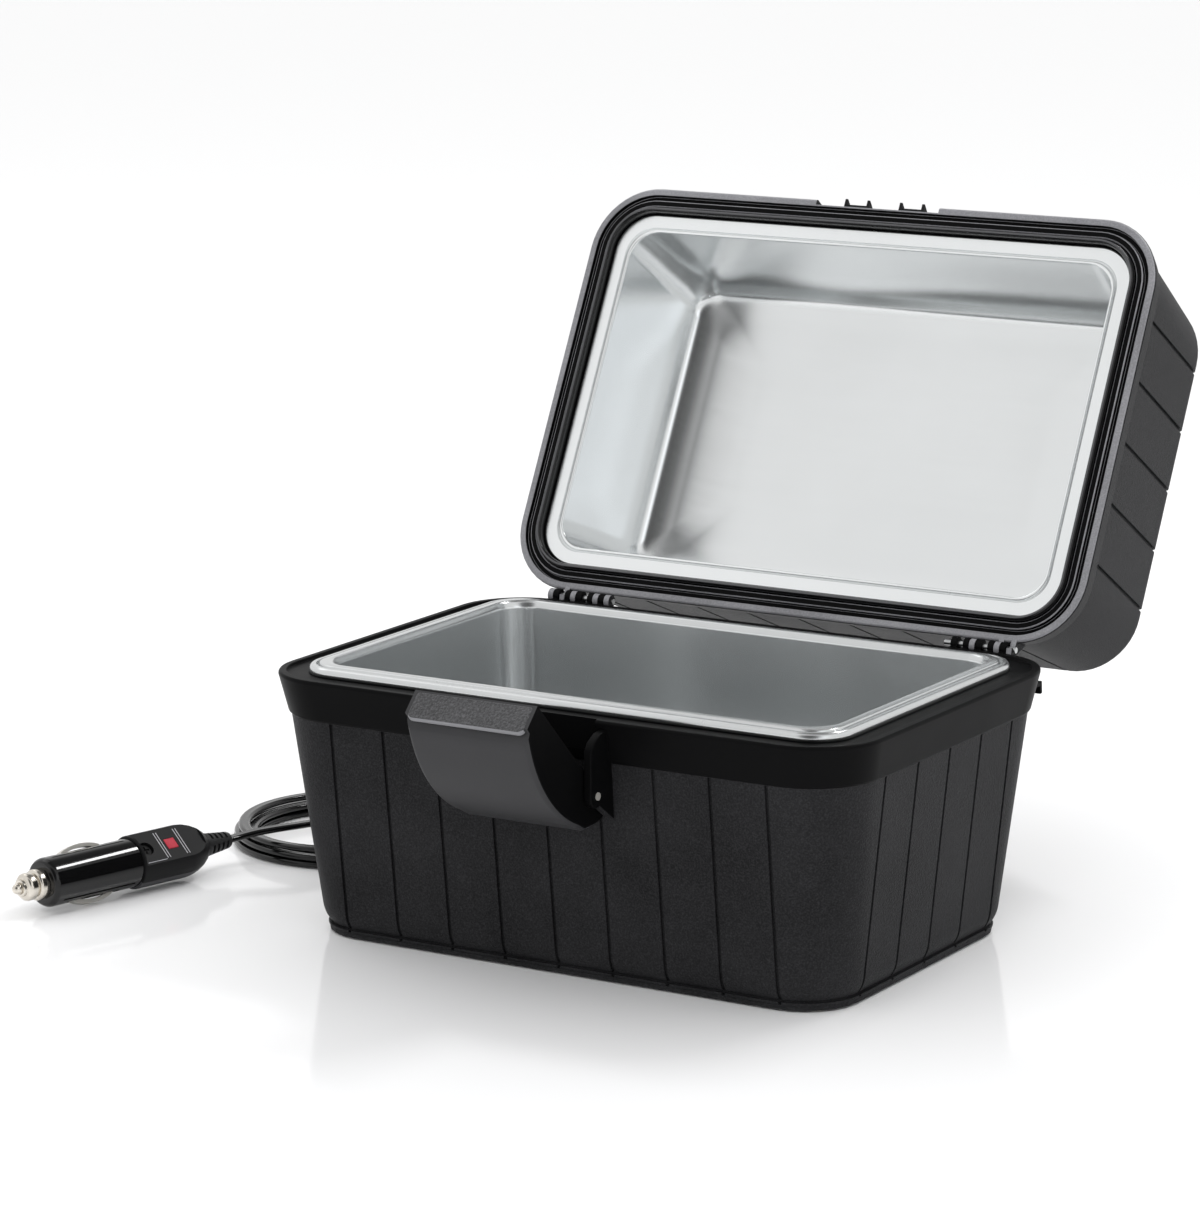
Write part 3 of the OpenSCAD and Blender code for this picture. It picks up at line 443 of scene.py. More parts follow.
# Painted highlight: a light grey copy of the latch plastic for the finger plate's front edge and the flap's top.
LATCH_HIGHLIGHT = Finish("latch_painted_highlight", "latch_plastic", "moulded_grain", grain(0.2, 0.28, 2400.0, 0.3, 0.4, 0.2), 0.15, 0.00005, specular=0.5)
LATCH_LEATHER = Finish("latch_leather", "latch_plastic", "moulded_grain", grain(0.02, 0.1, 1100.0, 0.34, 0.5, 0.9), 1.0, 0.0005, specular=0.5)
PLUG_SATIN = Finish("plug_satin", "black_shell", "moulded_grain", grain(0.008, 0.014, 2600.0, 0.36, 0.48, 0.2), 0.25, 0.00005, specular=0.12)
# A lighter grey for the lower half of the plug's housing.
PLUG_LOWER_GREY = Finish("plug_lower_grey", "black_shell", "moulded_grain", grain(0.06, 0.08, 2600.0, 0.4, 0.5, 0.2), 0.25, 0.00005, specular=0.35)
PALE_INK = Finish("pale_ink", "black_shell", "moulded_grain", grain(0.42, 0.5, 2200.0, 0.4, 0.5, 0.4), 0.1, 0.00003, specular=0.3)
BLACK_SCREW = Finish("black_screw", "black_gloss", "moulded_grain", grain(0.006, 0.01, 1800.0, 0.4, 0.5, 0.2), 0.1, 0.00004, specular=0.1)
PLUG_GLOSS = Finish("plug_gloss", "black_gloss", "moulded_grain", grain(0.004, 0.006, 1200.0, 0.08, 0.14, 0.1), 0.03, 0.00003, specular=0.1, coat=0.6, coat_roughness=0.04)
SOFT_RUBBER = Finish("soft_rubber", "rubber", "moulded_grain", grain(0.012, 0.02, 2000.0, 0.5, 0.62, 0.3), 0.25, 0.00006)
BEAD_RUBBER = Finish("bead_rubber", "rubber", "moulded_grain", grain(0.006, 0.009, 2400.0, 0.18, 0.26, 0.1), 0.1, 0.00004, specular=0.4)
# Painted highlight: a lighter copy of the bead rubber for the bead's crown.
BEAD_HIGHLIGHT = Finish("bead_painted_highlight", "rubber", "moulded_grain", grain(0.07, 0.1, 2400.0, 0.2, 0.3, 0.1), 0.1, 0.00004, specular=0.5)
LEAD_SHEATH = Finish("black_sheath", "lead_sheath", "moulded_grain", grain(0.003, 0.005, 1800.0, 0.16, 0.24, 0.1), 0.1, 0.00004, specular=0.3, coat=0.25, coat_roughness=0.05)
RED_SHEATH = Finish("red_sheath", "red_wire", "moulded_grain", (("Tone", (0.5, 0.02, 0.015, 1)), ("Worn Tone", (0.6, 0.05, 0.04, 1)), ("Grain", 1800.0), ("Gloss", 0.3), ("Dullness", 0.42), ("Speckle", 0.2)), 0.12, 0.00004)
WHITE_SHEATH = Finish("white_sheath", "white_wire", "moulded_grain", grain(0.6, 0.7, 1800.0, 0.35, 0.5, 0.3), 0.12, 0.00004)
BLUE_SHEATH = Finish("blue_sheath", "blue_crimp", "moulded_grain", (("Tone", (0.02, 0.08, 0.35, 1)), ("Worn Tone", (0.04, 0.12, 0.42, 1)), ("Grain", 1800.0), ("Gloss", 0.22), ("Dullness", 0.3), ("Speckle", 0.2)), 0.1, 0.00004)
BROWN_RESIN = Finish("brown_resin", "phenolic", "moulded_grain", (("Tone", (0.2, 0.09, 0.04, 1)), ("Worn Tone", (0.3, 0.16, 0.08, 1)), ("Grain", 1500.0), ("Gloss", 0.35), ("Dullness", 0.5), ("Speckle", 0.6)), 0.2, 0.00005)
PAN_SHEET = Finish("pan_sheet", "liner_aluminium", "rolled_sheet", sheet_values(0.84, 0.78, (30.0, 1200.0, 30.0), 0.16, 0.27, 14.0), 0.06, 0.0002, metallic=1.0)
# The pan's aluminium on the base pan's flange, with less relief; its tone, darker than the pan's, is painted shade.
FLANGE_SHADED = Finish("flange_sheet", "liner_aluminium", "rolled_sheet", sheet_values(0.7, 0.66, (300.0, 300.0, 300.0), 0.22, 0.3, 22.0), 0.01, 0.00003, metallic=1.0)
# The pan's aluminium on the lid pan's flange, with less relief; its tone, lighter than the pan's, is painted light.
LID_FLANGE_LIT = Finish("lid_flange_painted_light", "liner_aluminium", "rolled_sheet", sheet_values(0.93, 0.89, (300.0, 300.0, 300.0), 0.22, 0.3, 22.0), 0.01, 0.00003, metallic=1.0)
NICKEL_PLATE = Finish("nickel_plate", "nickel", "rolled_sheet", (("Tone", (0.78, 0.74, 0.67, 1)), ("Clouded Tone", (0.66, 0.61, 0.54, 1)), ("Line Stretch", (700.0, 700.0, 700.0)), ("Gloss", 0.1), ("Dullness", 0.24), ("Wave", 160.0)), 0.06, 0.00004, metallic=1.0)
CONTACT_PLATE = Finish("contact_plate", "nickel", "rolled_sheet", (("Tone", (0.66, 0.64, 0.6, 1)), ("Clouded Tone", (0.56, 0.54, 0.5, 1)), ("Line Stretch", (700.0, 700.0, 700.0)), ("Gloss", 0.26), ("Dullness", 0.36), ("Wave", 160.0)), 0.06, 0.00004, metallic=0.45)
STEEL_SHEET = Finish("steel_sheet", "steel", "rolled_sheet", sheet_values(0.56, 0.48, (60.0, 900.0, 900.0), 0.26, 0.42, 60.0), 0.1, 0.00005, metallic=1.0)
BRASS_SHEET = Finish("brass_sheet", "brass", "rolled_sheet", (("Tone", (0.72, 0.53, 0.2, 1)), ("Clouded Tone", (0.6, 0.42, 0.15, 1)), ("Line Stretch", (700.0, 700.0, 700.0)), ("Gloss", 0.2), ("Dullness", 0.34), ("Wave", 200.0)), 0.06, 0.00004, metallic=1.0)
MICA_SHEET = Finish("mica_sheet", "mica", "matted_fibre", (("Tone", (0.6, 0.5, 0.3, 1)), ("Deep Tone", (0.36, 0.28, 0.16, 1)), ("Thread", 260.0)), 0.1, 0.0001)
GLASS_WOOL = Finish("glass_wool_mat", "glass_wool", "matted_fibre", (("Tone", (0.82, 0.78, 0.66, 1)), ("Deep Tone", (0.5, 0.46, 0.34, 1)), ("Thread", 500.0)), 0.8, 0.0012)
FUSE_GLASS = ClearFinish("fuse_glass", "clear_glass", "moulded_grain", (("Tone", (0.9, 0.95, 0.95, 1)), ("Worn Tone", (0.92, 0.96, 0.96, 1)), ("Grain", 200.0), ("Gloss", 0.02), ("Dullness", 0.05), ("Speckle", 0.0)), 0.01, 0.00001, ior=1.5)
RED_LENS = ClearFinish("red_lens_finish", "red_lens", "moulded_grain", (("Tone", (0.62, 0.02, 0.05, 1)), ("Worn Tone", (0.75, 0.08, 0.12, 1)), ("Grain", 500.0), ("Gloss", 0.4), ("Dullness", 0.5), ("Speckle", 0.3)), 0.05, 0.00005, specular=0.1, see_through=0.25)


# ------------------------------------------------------------------ mesh making


@dataclass(frozen=True)
class Level:
    """One rounded rectangle of a lofted shape, drawn in from the rims' outline."""

    z: float
    inset: float
    radius: float
    ease: float = 0.0

    def mixed(self, other: "Level", share: float) -> "Level":
        """Returns the level that lies that share of the way to another."""
        return Level(
            self.z + (other.z - self.z) * share,
            self.inset + (other.inset - self.inset) * share,
            self.radius + (other.radius - self.radius) * share,
        )

    def apart(self, other: "Level") -> float:
        """Returns the distance to another level, along the side view."""
        return math.hypot(self.z - other.z, self.inset - other.inset)


def eased(levels: Sequence[Level], closed: bool, steps: int = 4) -> list[Level]:
    """Rounds the turns of a side view.

    Args:
        levels: the side view's corners; each one's ease is how far its rounding reaches.
        closed: whether the last corner joins the first.
        steps: pieces in each rounding.

    Returns:
        The levels with each eased corner replaced by a short curve.
    """
    out: list[Level] = []
    count = len(levels)
    for i, here in enumerate(levels):
        if here.ease <= 0 or (not closed and i in (0, count - 1)):
            out.append(here)
            continue
        back, ahead = levels[i - 1], levels[(i + 1) % count]
        start = here.mixed(back, min(here.ease / max(here.apart(back), 1e-6), 0.48))
        stop = here.mixed(ahead, min(here.ease / max(here.apart(ahead), 1e-6), 0.48))
        for k in range(steps + 1):
            t = k / steps
            out.append(start.mixed(here, t).mixed(here.mixed(stop, t), t))
    return out


class Shop:
    """A bmesh in millimetres and the operations that shape it."""

    def __init__(self) -> None:
        """Starts with nothing."""
        self.bm = bmesh.new()

    def ring(self, width: float, depth: float, level: Level, steps: int) -> list[bmesh.types.BMEdge]:
        """Adds one rounded rectangle of edges.

        Args:
            width: the rims' width.
            depth: the rims' depth.
            level: height, inset and corner radius.
            steps: pieces in each corner.

        Returns:
            The rectangle's edges.
        """
        before = set(self.bm.faces)
        corners = bmesh.ops.create_grid(self.bm, x_segments=1, y_segments=1, size=1.0)["verts"]
        half = ((width / 2 - level.inset), (depth / 2 - level.inset), 1.0)
        bmesh.ops.scale(self.bm, vec=half, verts=corners)
        bmesh.ops.translate(self.bm, vec=(0, 0, level.z), verts=corners)
        bmesh.ops.bevel(self.bm, geom=corners, offset=level.radius, affect="VERTICES", segments=steps, profile=0.5, material=-1)
        face = next(f for f in self.bm.faces if f not in before)
        edges = list(face.edges)
        bmesh.ops.delete(self.bm, geom=[face], context="FACES_ONLY")
        return edges

    def loft(self, width: float, depth: float, levels: Sequence[Level], closed: bool, caps: bool = False, steps: int = 12) -> list[list[bmesh.types.BMEdge]]:
        """Bridges a stack of rounded rectangles.

        Args:
            width: the rims' width.
            depth: the rims' depth.
            levels: the stack, in order along its side view.
            closed: whether the last joins the first, as round a wall with thickness.
            caps: whether the two ends are filled.
            steps: pieces in each corner.

        Returns:
            Each level's edges.
        """
        rings = [self.ring(width, depth, level, steps) for level in levels]
        pairs = list(zip(rings, rings[1:]))
        if closed:
            pairs.append((rings[-1], rings[0]))
        for a, b in pairs:
            bmesh.ops.bridge_loops(self.bm, edges=a + b)
        if caps:
            for ends in (rings[0], rings[-1]):
                bmesh.ops.contextual_create(self.bm, geom=ends)
        return rings

    def prism(self, outline: Sequence[Flat], x0: float, x1: float) -> list[bmesh.types.BMVert]:
        """Draws a side view out along X.

        Args:
            outline: corners as (y, z).
            x0: where it starts.
            x1: where it ends.

        Returns:
            The solid's points.
        """
        verts = [self.bm.verts.new((x0, y, z)) for y, z in outline]
        face = self.bm.faces.new(verts)
        more = bmesh.ops.extrude_face_region(self.bm, geom=[face], use_keep_orig=True)
        moved = [v for v in more["geom"] if isinstance(v, bmesh.types.BMVert)]
        bmesh.ops.translate(self.bm, vec=(x1 - x0, 0, 0), verts=moved)
        return verts + moved

    def rod(self, start: Point, finish: Point, radius: float, steps: int = 32, end_radius: float | None = None) -> list[bmesh.types.BMVert]:
        """Adds a closed cylinder or cone between two points.

        Args:
            start: the middle of its first end.
            finish: the middle of its other end.
            radius: its radius.
            steps: its sides.
            end_radius: the radius at the other end, if that differs.

        Returns:
            Its points.
        """
        a, b = Vector(start), Vector(finish)
        turn = (b - a).to_track_quat("Z", "Y").to_matrix().to_4x4()
        place = Matrix.Translation((a + b) / 2) @ turn
        made = bmesh.ops.create_cone(
            self.bm, cap_ends=True, segments=steps, radius1=radius,
            radius2=radius if end_radius is None else end_radius, depth=(b - a).length, matrix=place,
        )
        return made["verts"]

    def block(self, low: Point, high: Point) -> list[bmesh.types.BMVert]:
        """Adds a box between two corners and returns its points."""
        a, b = Vector(low), Vector(high)
        place = Matrix.Translation((a + b) / 2) @ Matrix.Diagonal((*(b - a), 1.0))
        return bmesh.ops.create_cube(self.bm, size=1.0, matrix=place)["verts"]

    def turned(self, profile: Sequence[Flat], steps: int = 48) -> list[bmesh.types.BMVert]:
        """Spins a side view round X.

        Args:
            profile: (distance along X, radius), from one end of the axis to the other.
            steps: pieces round the axis.

        Returns:
            The turned solid's points.
        """
        before = set(self.bm.verts)
        verts = [self.bm.verts.new((x, 0.0, max(r, 0.0))) for x, r in profile]
        edges = [self.bm.edges.new(pair) for pair in zip(verts, verts[1:])]
        bmesh.ops.spin(self.bm, geom=verts + edges, cent=(0, 0, 0), axis=(1, 0, 0), angle=TAU, steps=steps, use_merge=True, use_duplicate=False)
        made = [v for v in self.bm.verts if v not in before]
        bmesh.ops.remove_doubles(self.bm, verts=made, dist=1e-4)
        return [v for v in self.bm.verts if v not in before]

    def soften(self, edges: Iterable[bmesh.types.BMEdge], width: float, segments: int = 2) -> None:
        """Rounds edges over.

        Args:
            edges: the edges.
            width: how far the rounding reaches on each face.
            segments: pieces in the rounding.
        """
        found = [e for e in edges if e.is_valid]
        if found:
            bmesh.ops.bevel(self.bm, geom=found, offset=width, affect="EDGES", segments=segments, profile=0.5, material=-1, clamp_overlap=True)

    def sharp(self, verts: Iterable[bmesh.types.BMVert], degrees: float = 30.0) -> list[bmesh.types.BMEdge]:
        """Finds the edges among some points whose faces meet at more than that angle."""
        wanted = {v for v in verts if v.is_valid}
        limit = math.radians(degrees)
        return [
            e for e in self.bm.edges
            if e.verts[0] in wanted and e.verts[1] in wanted and len(e.link_faces) == 2 and e.calc_face_angle(0.0) > limit
        ]

    def mend(self) -> None:
        """Merges doubles and turns every face outwards."""
        bmesh.ops.remove_doubles(self.bm, verts=self.bm.verts[:], dist=1e-4)
        bmesh.ops.recalc_face_normals(self.bm, faces=self.bm.faces[:])

    def move(self, matrix: Matrix, verts: Iterable[bmesh.types.BMVert] | None = None) -> None:
        """Places some points, or all of them, by a matrix in millimetres."""
        chosen = list(self.bm.verts if verts is None else verts)
        bmesh.ops.transform(self.bm, matrix=matrix, verts=chosen)

    def wall(self, side: Side, low: float, high: float) -> list[bmesh.types.BMFace]:
        """Finds the faces of one upright wall between two heights."""
        found = []
        for face in self.bm.faces:
            middle = face.calc_center_median()
            if face.normal.dot(side.out) > 0.3 and abs(face.normal.dot(side.along)) < 0.3 and low < middle.z < high and middle.dot(side.out) > 60:
                found.append(face)
        return found

    def grooves(self, side: Side, places: Sequence[float], width: float, depth: float, low: float, high: float) -> None:
        """Sinks upright grooves into a wall.

        Args:
            side: the wall.
            places: each groove's place along the wall.
            width: a groove's width.
            depth: a groove's depth.
            low: the height that the grooves start from.
            high: the height that they end at.
        """
        for place in places:
            for edge in (-0.5, 0.5):
                faces = self.wall(side, low, high)
                near = [f for f in faces if any(abs(v.co.dot(side.along) - place) < 400 for v in f.verts)]
                geom: list = list(near)
                geom += {e for f in near for e in f.edges}
                geom += {v for f in near for v in f.verts}
                bmesh.ops.bisect_plane(self.bm, geom=geom, dist=1e-5, plane_co=side.along * (place + edge * width), plane_no=side.along)
        self.bm.normal_update()
        rims: list[bmesh.types.BMEdge] = []
        for place in places:
            strip = [f for f in self.wall(side, low, high) if abs(f.calc_center_median().dot(side.along) - place) < width * 0.45]
            chosen = set(strip)
            rims += [
                e for f in strip for e in f.edges
                if sum(g in chosen for g in e.link_faces) == 1 and abs((e.verts[0].co - e.verts[1].co).normalized().dot(side.along)) < 0.1
            ]
            sunk = bmesh.ops.extrude_face_region(self.bm, geom=strip)
            verts = [v for v in sunk["geom"] if isinstance(v, bmesh.types.BMVert)]
            bmesh.ops.delete(self.bm, geom=[f for f in strip if f.is_valid], context="FACES_ONLY")
            bmesh.ops.translate(self.bm, vec=side.out * -depth, verts=verts)
        self.soften(set(rims), width * 0.16, 2)


@dataclass(frozen=True)
class Piece:
    """What a finished mesh is called, what it stands for and what it moves with."""

    name: str
    body: Body
    stands_for: tuple[str, ...]
    finishes: tuple[Finish, ...]


def to_object(shop: Shop, piece: Piece, place: Matrix | None = None, smooth_angle: float = 32.0, keep_normals: bool = False) -> bpy.types.Object:
    """Turns a mesh in millimetres into a finished object in metres.

    Args:
        shop: the mesh.
        piece: its name, body, nodes and finishes.
        place: where it goes, in millimetres, if it isn't drawn in place.
        smooth_angle: faces that meet at less than this are shaded as one.
        keep_normals: whether the faces point the right way already.

    Returns:
        The object, riding on its body.
    """
    if place is not None:
        shop.move(place)
    if not keep_normals:
        shop.mend()
    bmesh.ops.scale(shop.bm, vec=(MM, MM, MM), verts=shop.bm.verts[:])
    mesh = bpy.data.meshes.new(piece.name)
    shop.bm.to_mesh(mesh)
    shop.bm.free()
    obj = bpy.data.objects.new(piece.name, mesh)
    bpy.context.scene.collection.objects.link(obj)
    for finish in piece.finishes:
        mesh.materials.append(finish.material())
    mesh.shade_smooth()
    mesh.set_sharp_from_angle(angle=math.radians(smooth_angle))
    weighted = obj.modifiers.new("even_shading", "WEIGHTED_NORMAL")
    weighted.keep_sharp = True
    weighted.weight = 60
    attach(obj, piece.body.value)
    if piece.stands_for:
        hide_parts(*piece.stands_for)
    LOG.info("%s: %d faces on %s", piece.name, len(mesh.polygons), piece.body.value)
    return obj


def carve(obj: bpy.types.Object, cutters: Sequence[Shop]) -> None:
    """Cuts closed shapes, drawn in metres' millimetres, out of an object.

    Args:
        obj: the object that is cut.
        cutters: the shapes, in millimetres and in the object's place.
    """
    for shop in cutters:
        shop.mend()
        bmesh.ops.scale(shop.bm, vec=(MM, MM, MM), verts=shop.bm.verts[:])
        mesh = bpy.data.meshes.new("cutter")
        shop.bm.to_mesh(mesh)
        shop.bm.free()
        tool = bpy.data.objects.new("cutter", mesh)
        bpy.context.scene.collection.objects.link(tool)
        cut = obj.modifiers.new("cut", "BOOLEAN")
        cut.operation, cut.solver, cut.object = "DIFFERENCE", "EXACT", tool
        others = [m for m in obj.modifiers if m != cut]
        shown = [m.show_viewport for m in others]
        for m in others:
            m.show_viewport = False
        bpy.context.view_layer.update()
        graph = bpy.context.evaluated_depsgraph_get()
        new = bpy.data.meshes.new_from_object(obj.evaluated_get(graph))
        obj.modifiers.remove(cut)
        old, obj.data = obj.data, new
        new.name = old.name
        bpy.data.meshes.remove(old)
        for m, state in zip(others, shown):
            m.show_viewport = state
        bpy.data.objects.remove(tool)
        bpy.data.meshes.remove(mesh)
        obj.data.shade_smooth()
        obj.data.set_sharp_from_angle(angle=math.radians(32.0))


def hinge_turn(degrees: float, y: float, z: float) -> Matrix:
    """Returns the turn about an axis along X through (y, z)."""
    there = Matrix.Translation((0, y, z))
    return there @ Matrix.Rotation(math.radians(degrees), 4, "X") @ there.inverted()


# ------------------------------------------------------------------ sizes that pieces share


@dataclass(frozen=True)
class Sizes:
    """The box's own sizes, as its construction has them."""

    width: float = 262.0
    depth: float = 178.0
    height: float = 105.0
    corner: float = 28.0
    hinge_y: float = 92.0
    hinge_z: float = 105.8
    lid_open: float = 117.6
    latch_y: float = -95.0
    latch_z: float = 78.0
    latch_open: float = 45.5
    lid_z: float = 106.5
    catch_x: float = 12.72
    front_places: tuple[float, ...] = tuple(24.0 * k for k in range(-4, 5))
    side_places: tuple[float, ...] = tuple(25.5 * k for k in range(-2, 3))

    def ring_radius(self, inset: float) -> float:
        """Corner radius of a ring that keeps its distance from the rim's edge."""
        return self.corner - inset

    def wall_radius(self, inset: float) -> float:
        """Corner radius of the leaning outer walls."""
        return self.corner - 0.3 * inset

    @property
    def lid_turn(self) -> Matrix:
        """The turn that opens the lid."""
        return hinge_turn(-self.lid_open, self.hinge_y, self.hinge_z)

    @property
    def latch_turn(self) -> Matrix:
        """The turn that opens the latch."""
        return hinge_turn(self.latch_open, self.latch_y, self.latch_z)


SIZES = Sizes()


# ------------------------------------------------------------------ tub


@dataclass
class Tub:
    """The black tub and its metal pan."""

    sizes: Sizes = SIZES
    band: float = 16.0
    groove_width: float = 1.5
    groove_depth: float = 1.1
    notch_half: float = 27.0
    knuckle_step: float = 2.7
    knuckle_width: float = 2.4
    hinge_reach: float = 107.2

    def wall(self, z: float) -> float:
        """Inset of the grooved wall at a height."""
        return 3.8 + (89.0 - z) * math.tan(math.radians(6.3))

    def shell(self) -> bpy.types.Object:
        """Builds the tub's one moulding: walls, rim, grooves, ears, hooks and hinge knuckles.

        Returns:
            The tub's shell.
        """
        s = self.sizes
        w, r = s.wall_radius, s.ring_radius
        shop = Shop()
        levels = [
            Level(2.62, self.wall(2.6) + 3.0, w(13) - 3.0, 0.0),
            Level(2.62, self.wall(2.6) + 0.9, w(13) - 0.9, 0.35),
            Level(3.7, self.wall(3.7) + 0.9, w(13) - 0.9, 0.35),
            Level(3.7, self.wall(3.7) + 2.5, w(13) - 2.5, 0.2),
            Level(4.3, self.wall(4.3) + 2.5, w(13) - 2.5, 0.2),
            Level(4.6, self.wall(4.6) + 1.7, w(13) - 1.7, 0.3),
            Level(8.2, self.wall(8.2), w(13), 3.2),
            Level(88.3, self.wall(88.3), w(3.8), 0.6),
            Level(89.0, 3.05, w(3), 0.5),
            Level(104.0, 0.0, s.corner, 0.6),
            Level(105.0, 0.6, s.corner - 0.6, 0.45),
            Level(105.0, 3.2, r(3.2), 0.4),
            Level(103.8, 3.5, r(3.5), 0.4),
            Level(103.8, 14.2, r(14.2), 0.3),
            Level(101.0, 14.2, r(14.2), 0.3),
            Level(101.0, 6.8, w(4) - 2.4, 0.5),
            Level(5.0, self.wall(5) + 3.2, w(13) - 3.2, 0.0),
            Level(2.62, self.wall(2.6) + 3.4, w(13) - 3.4, 0.0),
        ]
        shop.loft(s.width, s.depth, eased(levels, closed=True), closed=True)
        shop.mend()
        for side in (Side.FRONT, Side.BACK):
            shop.grooves(side, s.front_places, self.groove_width, self.groove_depth, 2.8, 88.2)
        for side in (Side.LEFT, Side.RIGHT):
            shop.grooves(side, s.side_places, self.groove_width, self.groove_depth, 2.8, 88.2)
        for sign in (-1, 1):
            self._ear(shop, sign)
            self._knuckles(shop, sign)
            self._hook(shop, sign)
        made = to_object(shop, Piece("tub_shell", Body.BASE, ("base_shell",), (SHELL_GRAIN, RIM_SATIN_AND_SHADE)))
        front = -s.depth / 2
        notch, gland = Shop(), Shop()
        found = notch.block((-self.notch_half + 1.5, front - 6, 93.0), (self.notch_half - 1.5, front + 2.5, 112.0))
        notch.soften([e for e in notch.sharp(found) if abs((e.verts[0].co - e.verts[1].co).normalized().x) < 0.1], 1.2, 4)
        gland.rod((-85, 70, 20), (-85, 92, 20), 5.0)
        carve(made, [notch, gland])
        self._dress_rim(made.data)
        return made

    def _dress_rim(self, mesh: bpy.types.Mesh) -> None:
        """Gives the rim, the ledge and the band their smoother satin."""
        for face in mesh.polygons:
            x, y, high = (v / MM for v in face.center)
            ear = 26.5 < abs(x) < 30.7 and y < -self.sizes.depth / 2
            face.material_index = 1 if high > 88.4 or ear else 0

    def _ear(self, shop: Shop, sign: int) -> None:
        """Adds the ear that carries one end of the latch's pin."""
        s = self.sizes
        front = -s.depth / 2
        y, z = s.latch_y, s.latch_z
        arc = [(y + 4.5 * math.cos(a), z + 4.5 * math.sin(a)) for a in (math.radians(d) for d in range(180, 300, 15))]
        outline = [(front + 4, 102.0), (front - 3.6, 101.2), (front - 8.2, 98.6), (front - 10.2, 95.6), (front - 10.5, 92.0), *arc, (front + 6, z - 12)]
        x0, x1 = sorted((sign * 27.0, sign * 30.2))
        verts = shop.prism(outline, x0, x1)
        shop.bm.normal_update()
        shop.soften(shop.sharp(verts, 40.0), 0.5, 3)

    def _knuckles(self, shop: Shop, sign: int) -> None:
        """Adds the tub's half of one hinge."""
        s = self.sizes
        back = s.depth / 2
        for k in range(1, 11, 2):
            x = sign * (self.hinge_reach - (k + 0.5) * self.knuckle_step)
            half = self.knuckle_width / 2
            shop.rod((x - half, s.hinge_y, s.hinge_z), (x + half, s.hinge_y, s.hinge_z), 2.7, 24)
            verts = shop.prism([(back - 3, s.hinge_z - 8), (back - 0.6, s.hinge_z - 8), (s.hinge_y + 2.6, s.hinge_z - 2.4), (s.hinge_y + 2.6, s.hinge_z - 0.4), (s.hinge_y - 2.6, s.hinge_z - 0.4), (back - 3, 104.6)], x - half, x + half)
            shop.bm.normal_update()
            shop.soften(shop.sharp(verts, 50.0), 0.2, 2)

    def _hook(self, shop: Shop, sign: int) -> None:
        """Adds the small moulded hook at the outer end of one hinge."""
        back = self.sizes.depth / 2
        x0, x1 = sorted((sign * 113.7, sign * 118.7))
        verts = shop.prism([(back - 9, 94.5), (back + 4.6, 94.5), (back + 5, 89.6), (back + 3.4, 89.3), (back + 3, 92.6), (back - 9, 92.6)], x0, x1)
        shop.bm.normal_update()
        shop.soften(shop.sharp(verts, 50.0), 0.35, 2)

    def pan(self) -> bpy.types.Object:
        """Builds the pressed pan with its raised, beaded flange.

        Returns:
            The pan.
        """
        s = self.sizes
        r = s.ring_radius
        shop = Shop()
        top = [
            Level(104.1, 11.8, r(11.8)),
            Level(106.3, 12.3, r(12.3), 0.9),
            Level(107.3, 13.4, r(13.4), 0.5),
            Level(107.3, 14.8, r(14.8), 0.3),
            Level(105.9, 15.1, r(15.1), 0.2),
            Level(105.9, 15.7, r(15.7), 0.2),
            Level(107.7, 16.2, r(16.2), 0.4),
            Level(108.0, 17.6, 12.6, 0.8),
            Level(108.0, 19.6, 12.2, 1.1),
            Level(105.6, 20.6, 12.0, 0.8),
            Level(24.95, 24.3, 12.0, 11.0),
            Level(24.95, 60.0, 6.0),
        ]
        curve = eased(top, closed=False, steps=6)
        rings = shop.loft(s.width, s.depth, curve, closed=False, steps=16)
        bmesh.ops.contextual_create(shop.bm, geom=rings[-1])
        shop.mend()
        up = max(shop.bm.faces, key=lambda f: f.calc_area() if abs(f.normal.z) > 0.9 else 0.0)
        if up.normal.z < 0:
            bmesh.ops.reverse_faces(shop.bm, faces=shop.bm.faces[:])
        made = to_object(shop, Piece("tub_pan", Body.BASE, ("base_liner",), (PAN_SHEET, FLANGE_SHADED)), smooth_angle=60.0, keep_normals=True)
        thick = made.modifiers.new("sheet", "SOLIDIFY")
        thick.thickness, thick.offset = 0.85 * MM, -1.0
        thick.use_even_offset = False
        made.modifiers.move(1, 0)
        # Painted shade: the flange, above 105.5 mm, gets the darker flange finish.
        for face in made.data.polygons:
            face.material_index = 1 if face.center.z / MM > 105.5 else 0
        return made


# ------------------------------------------------------------------ lid


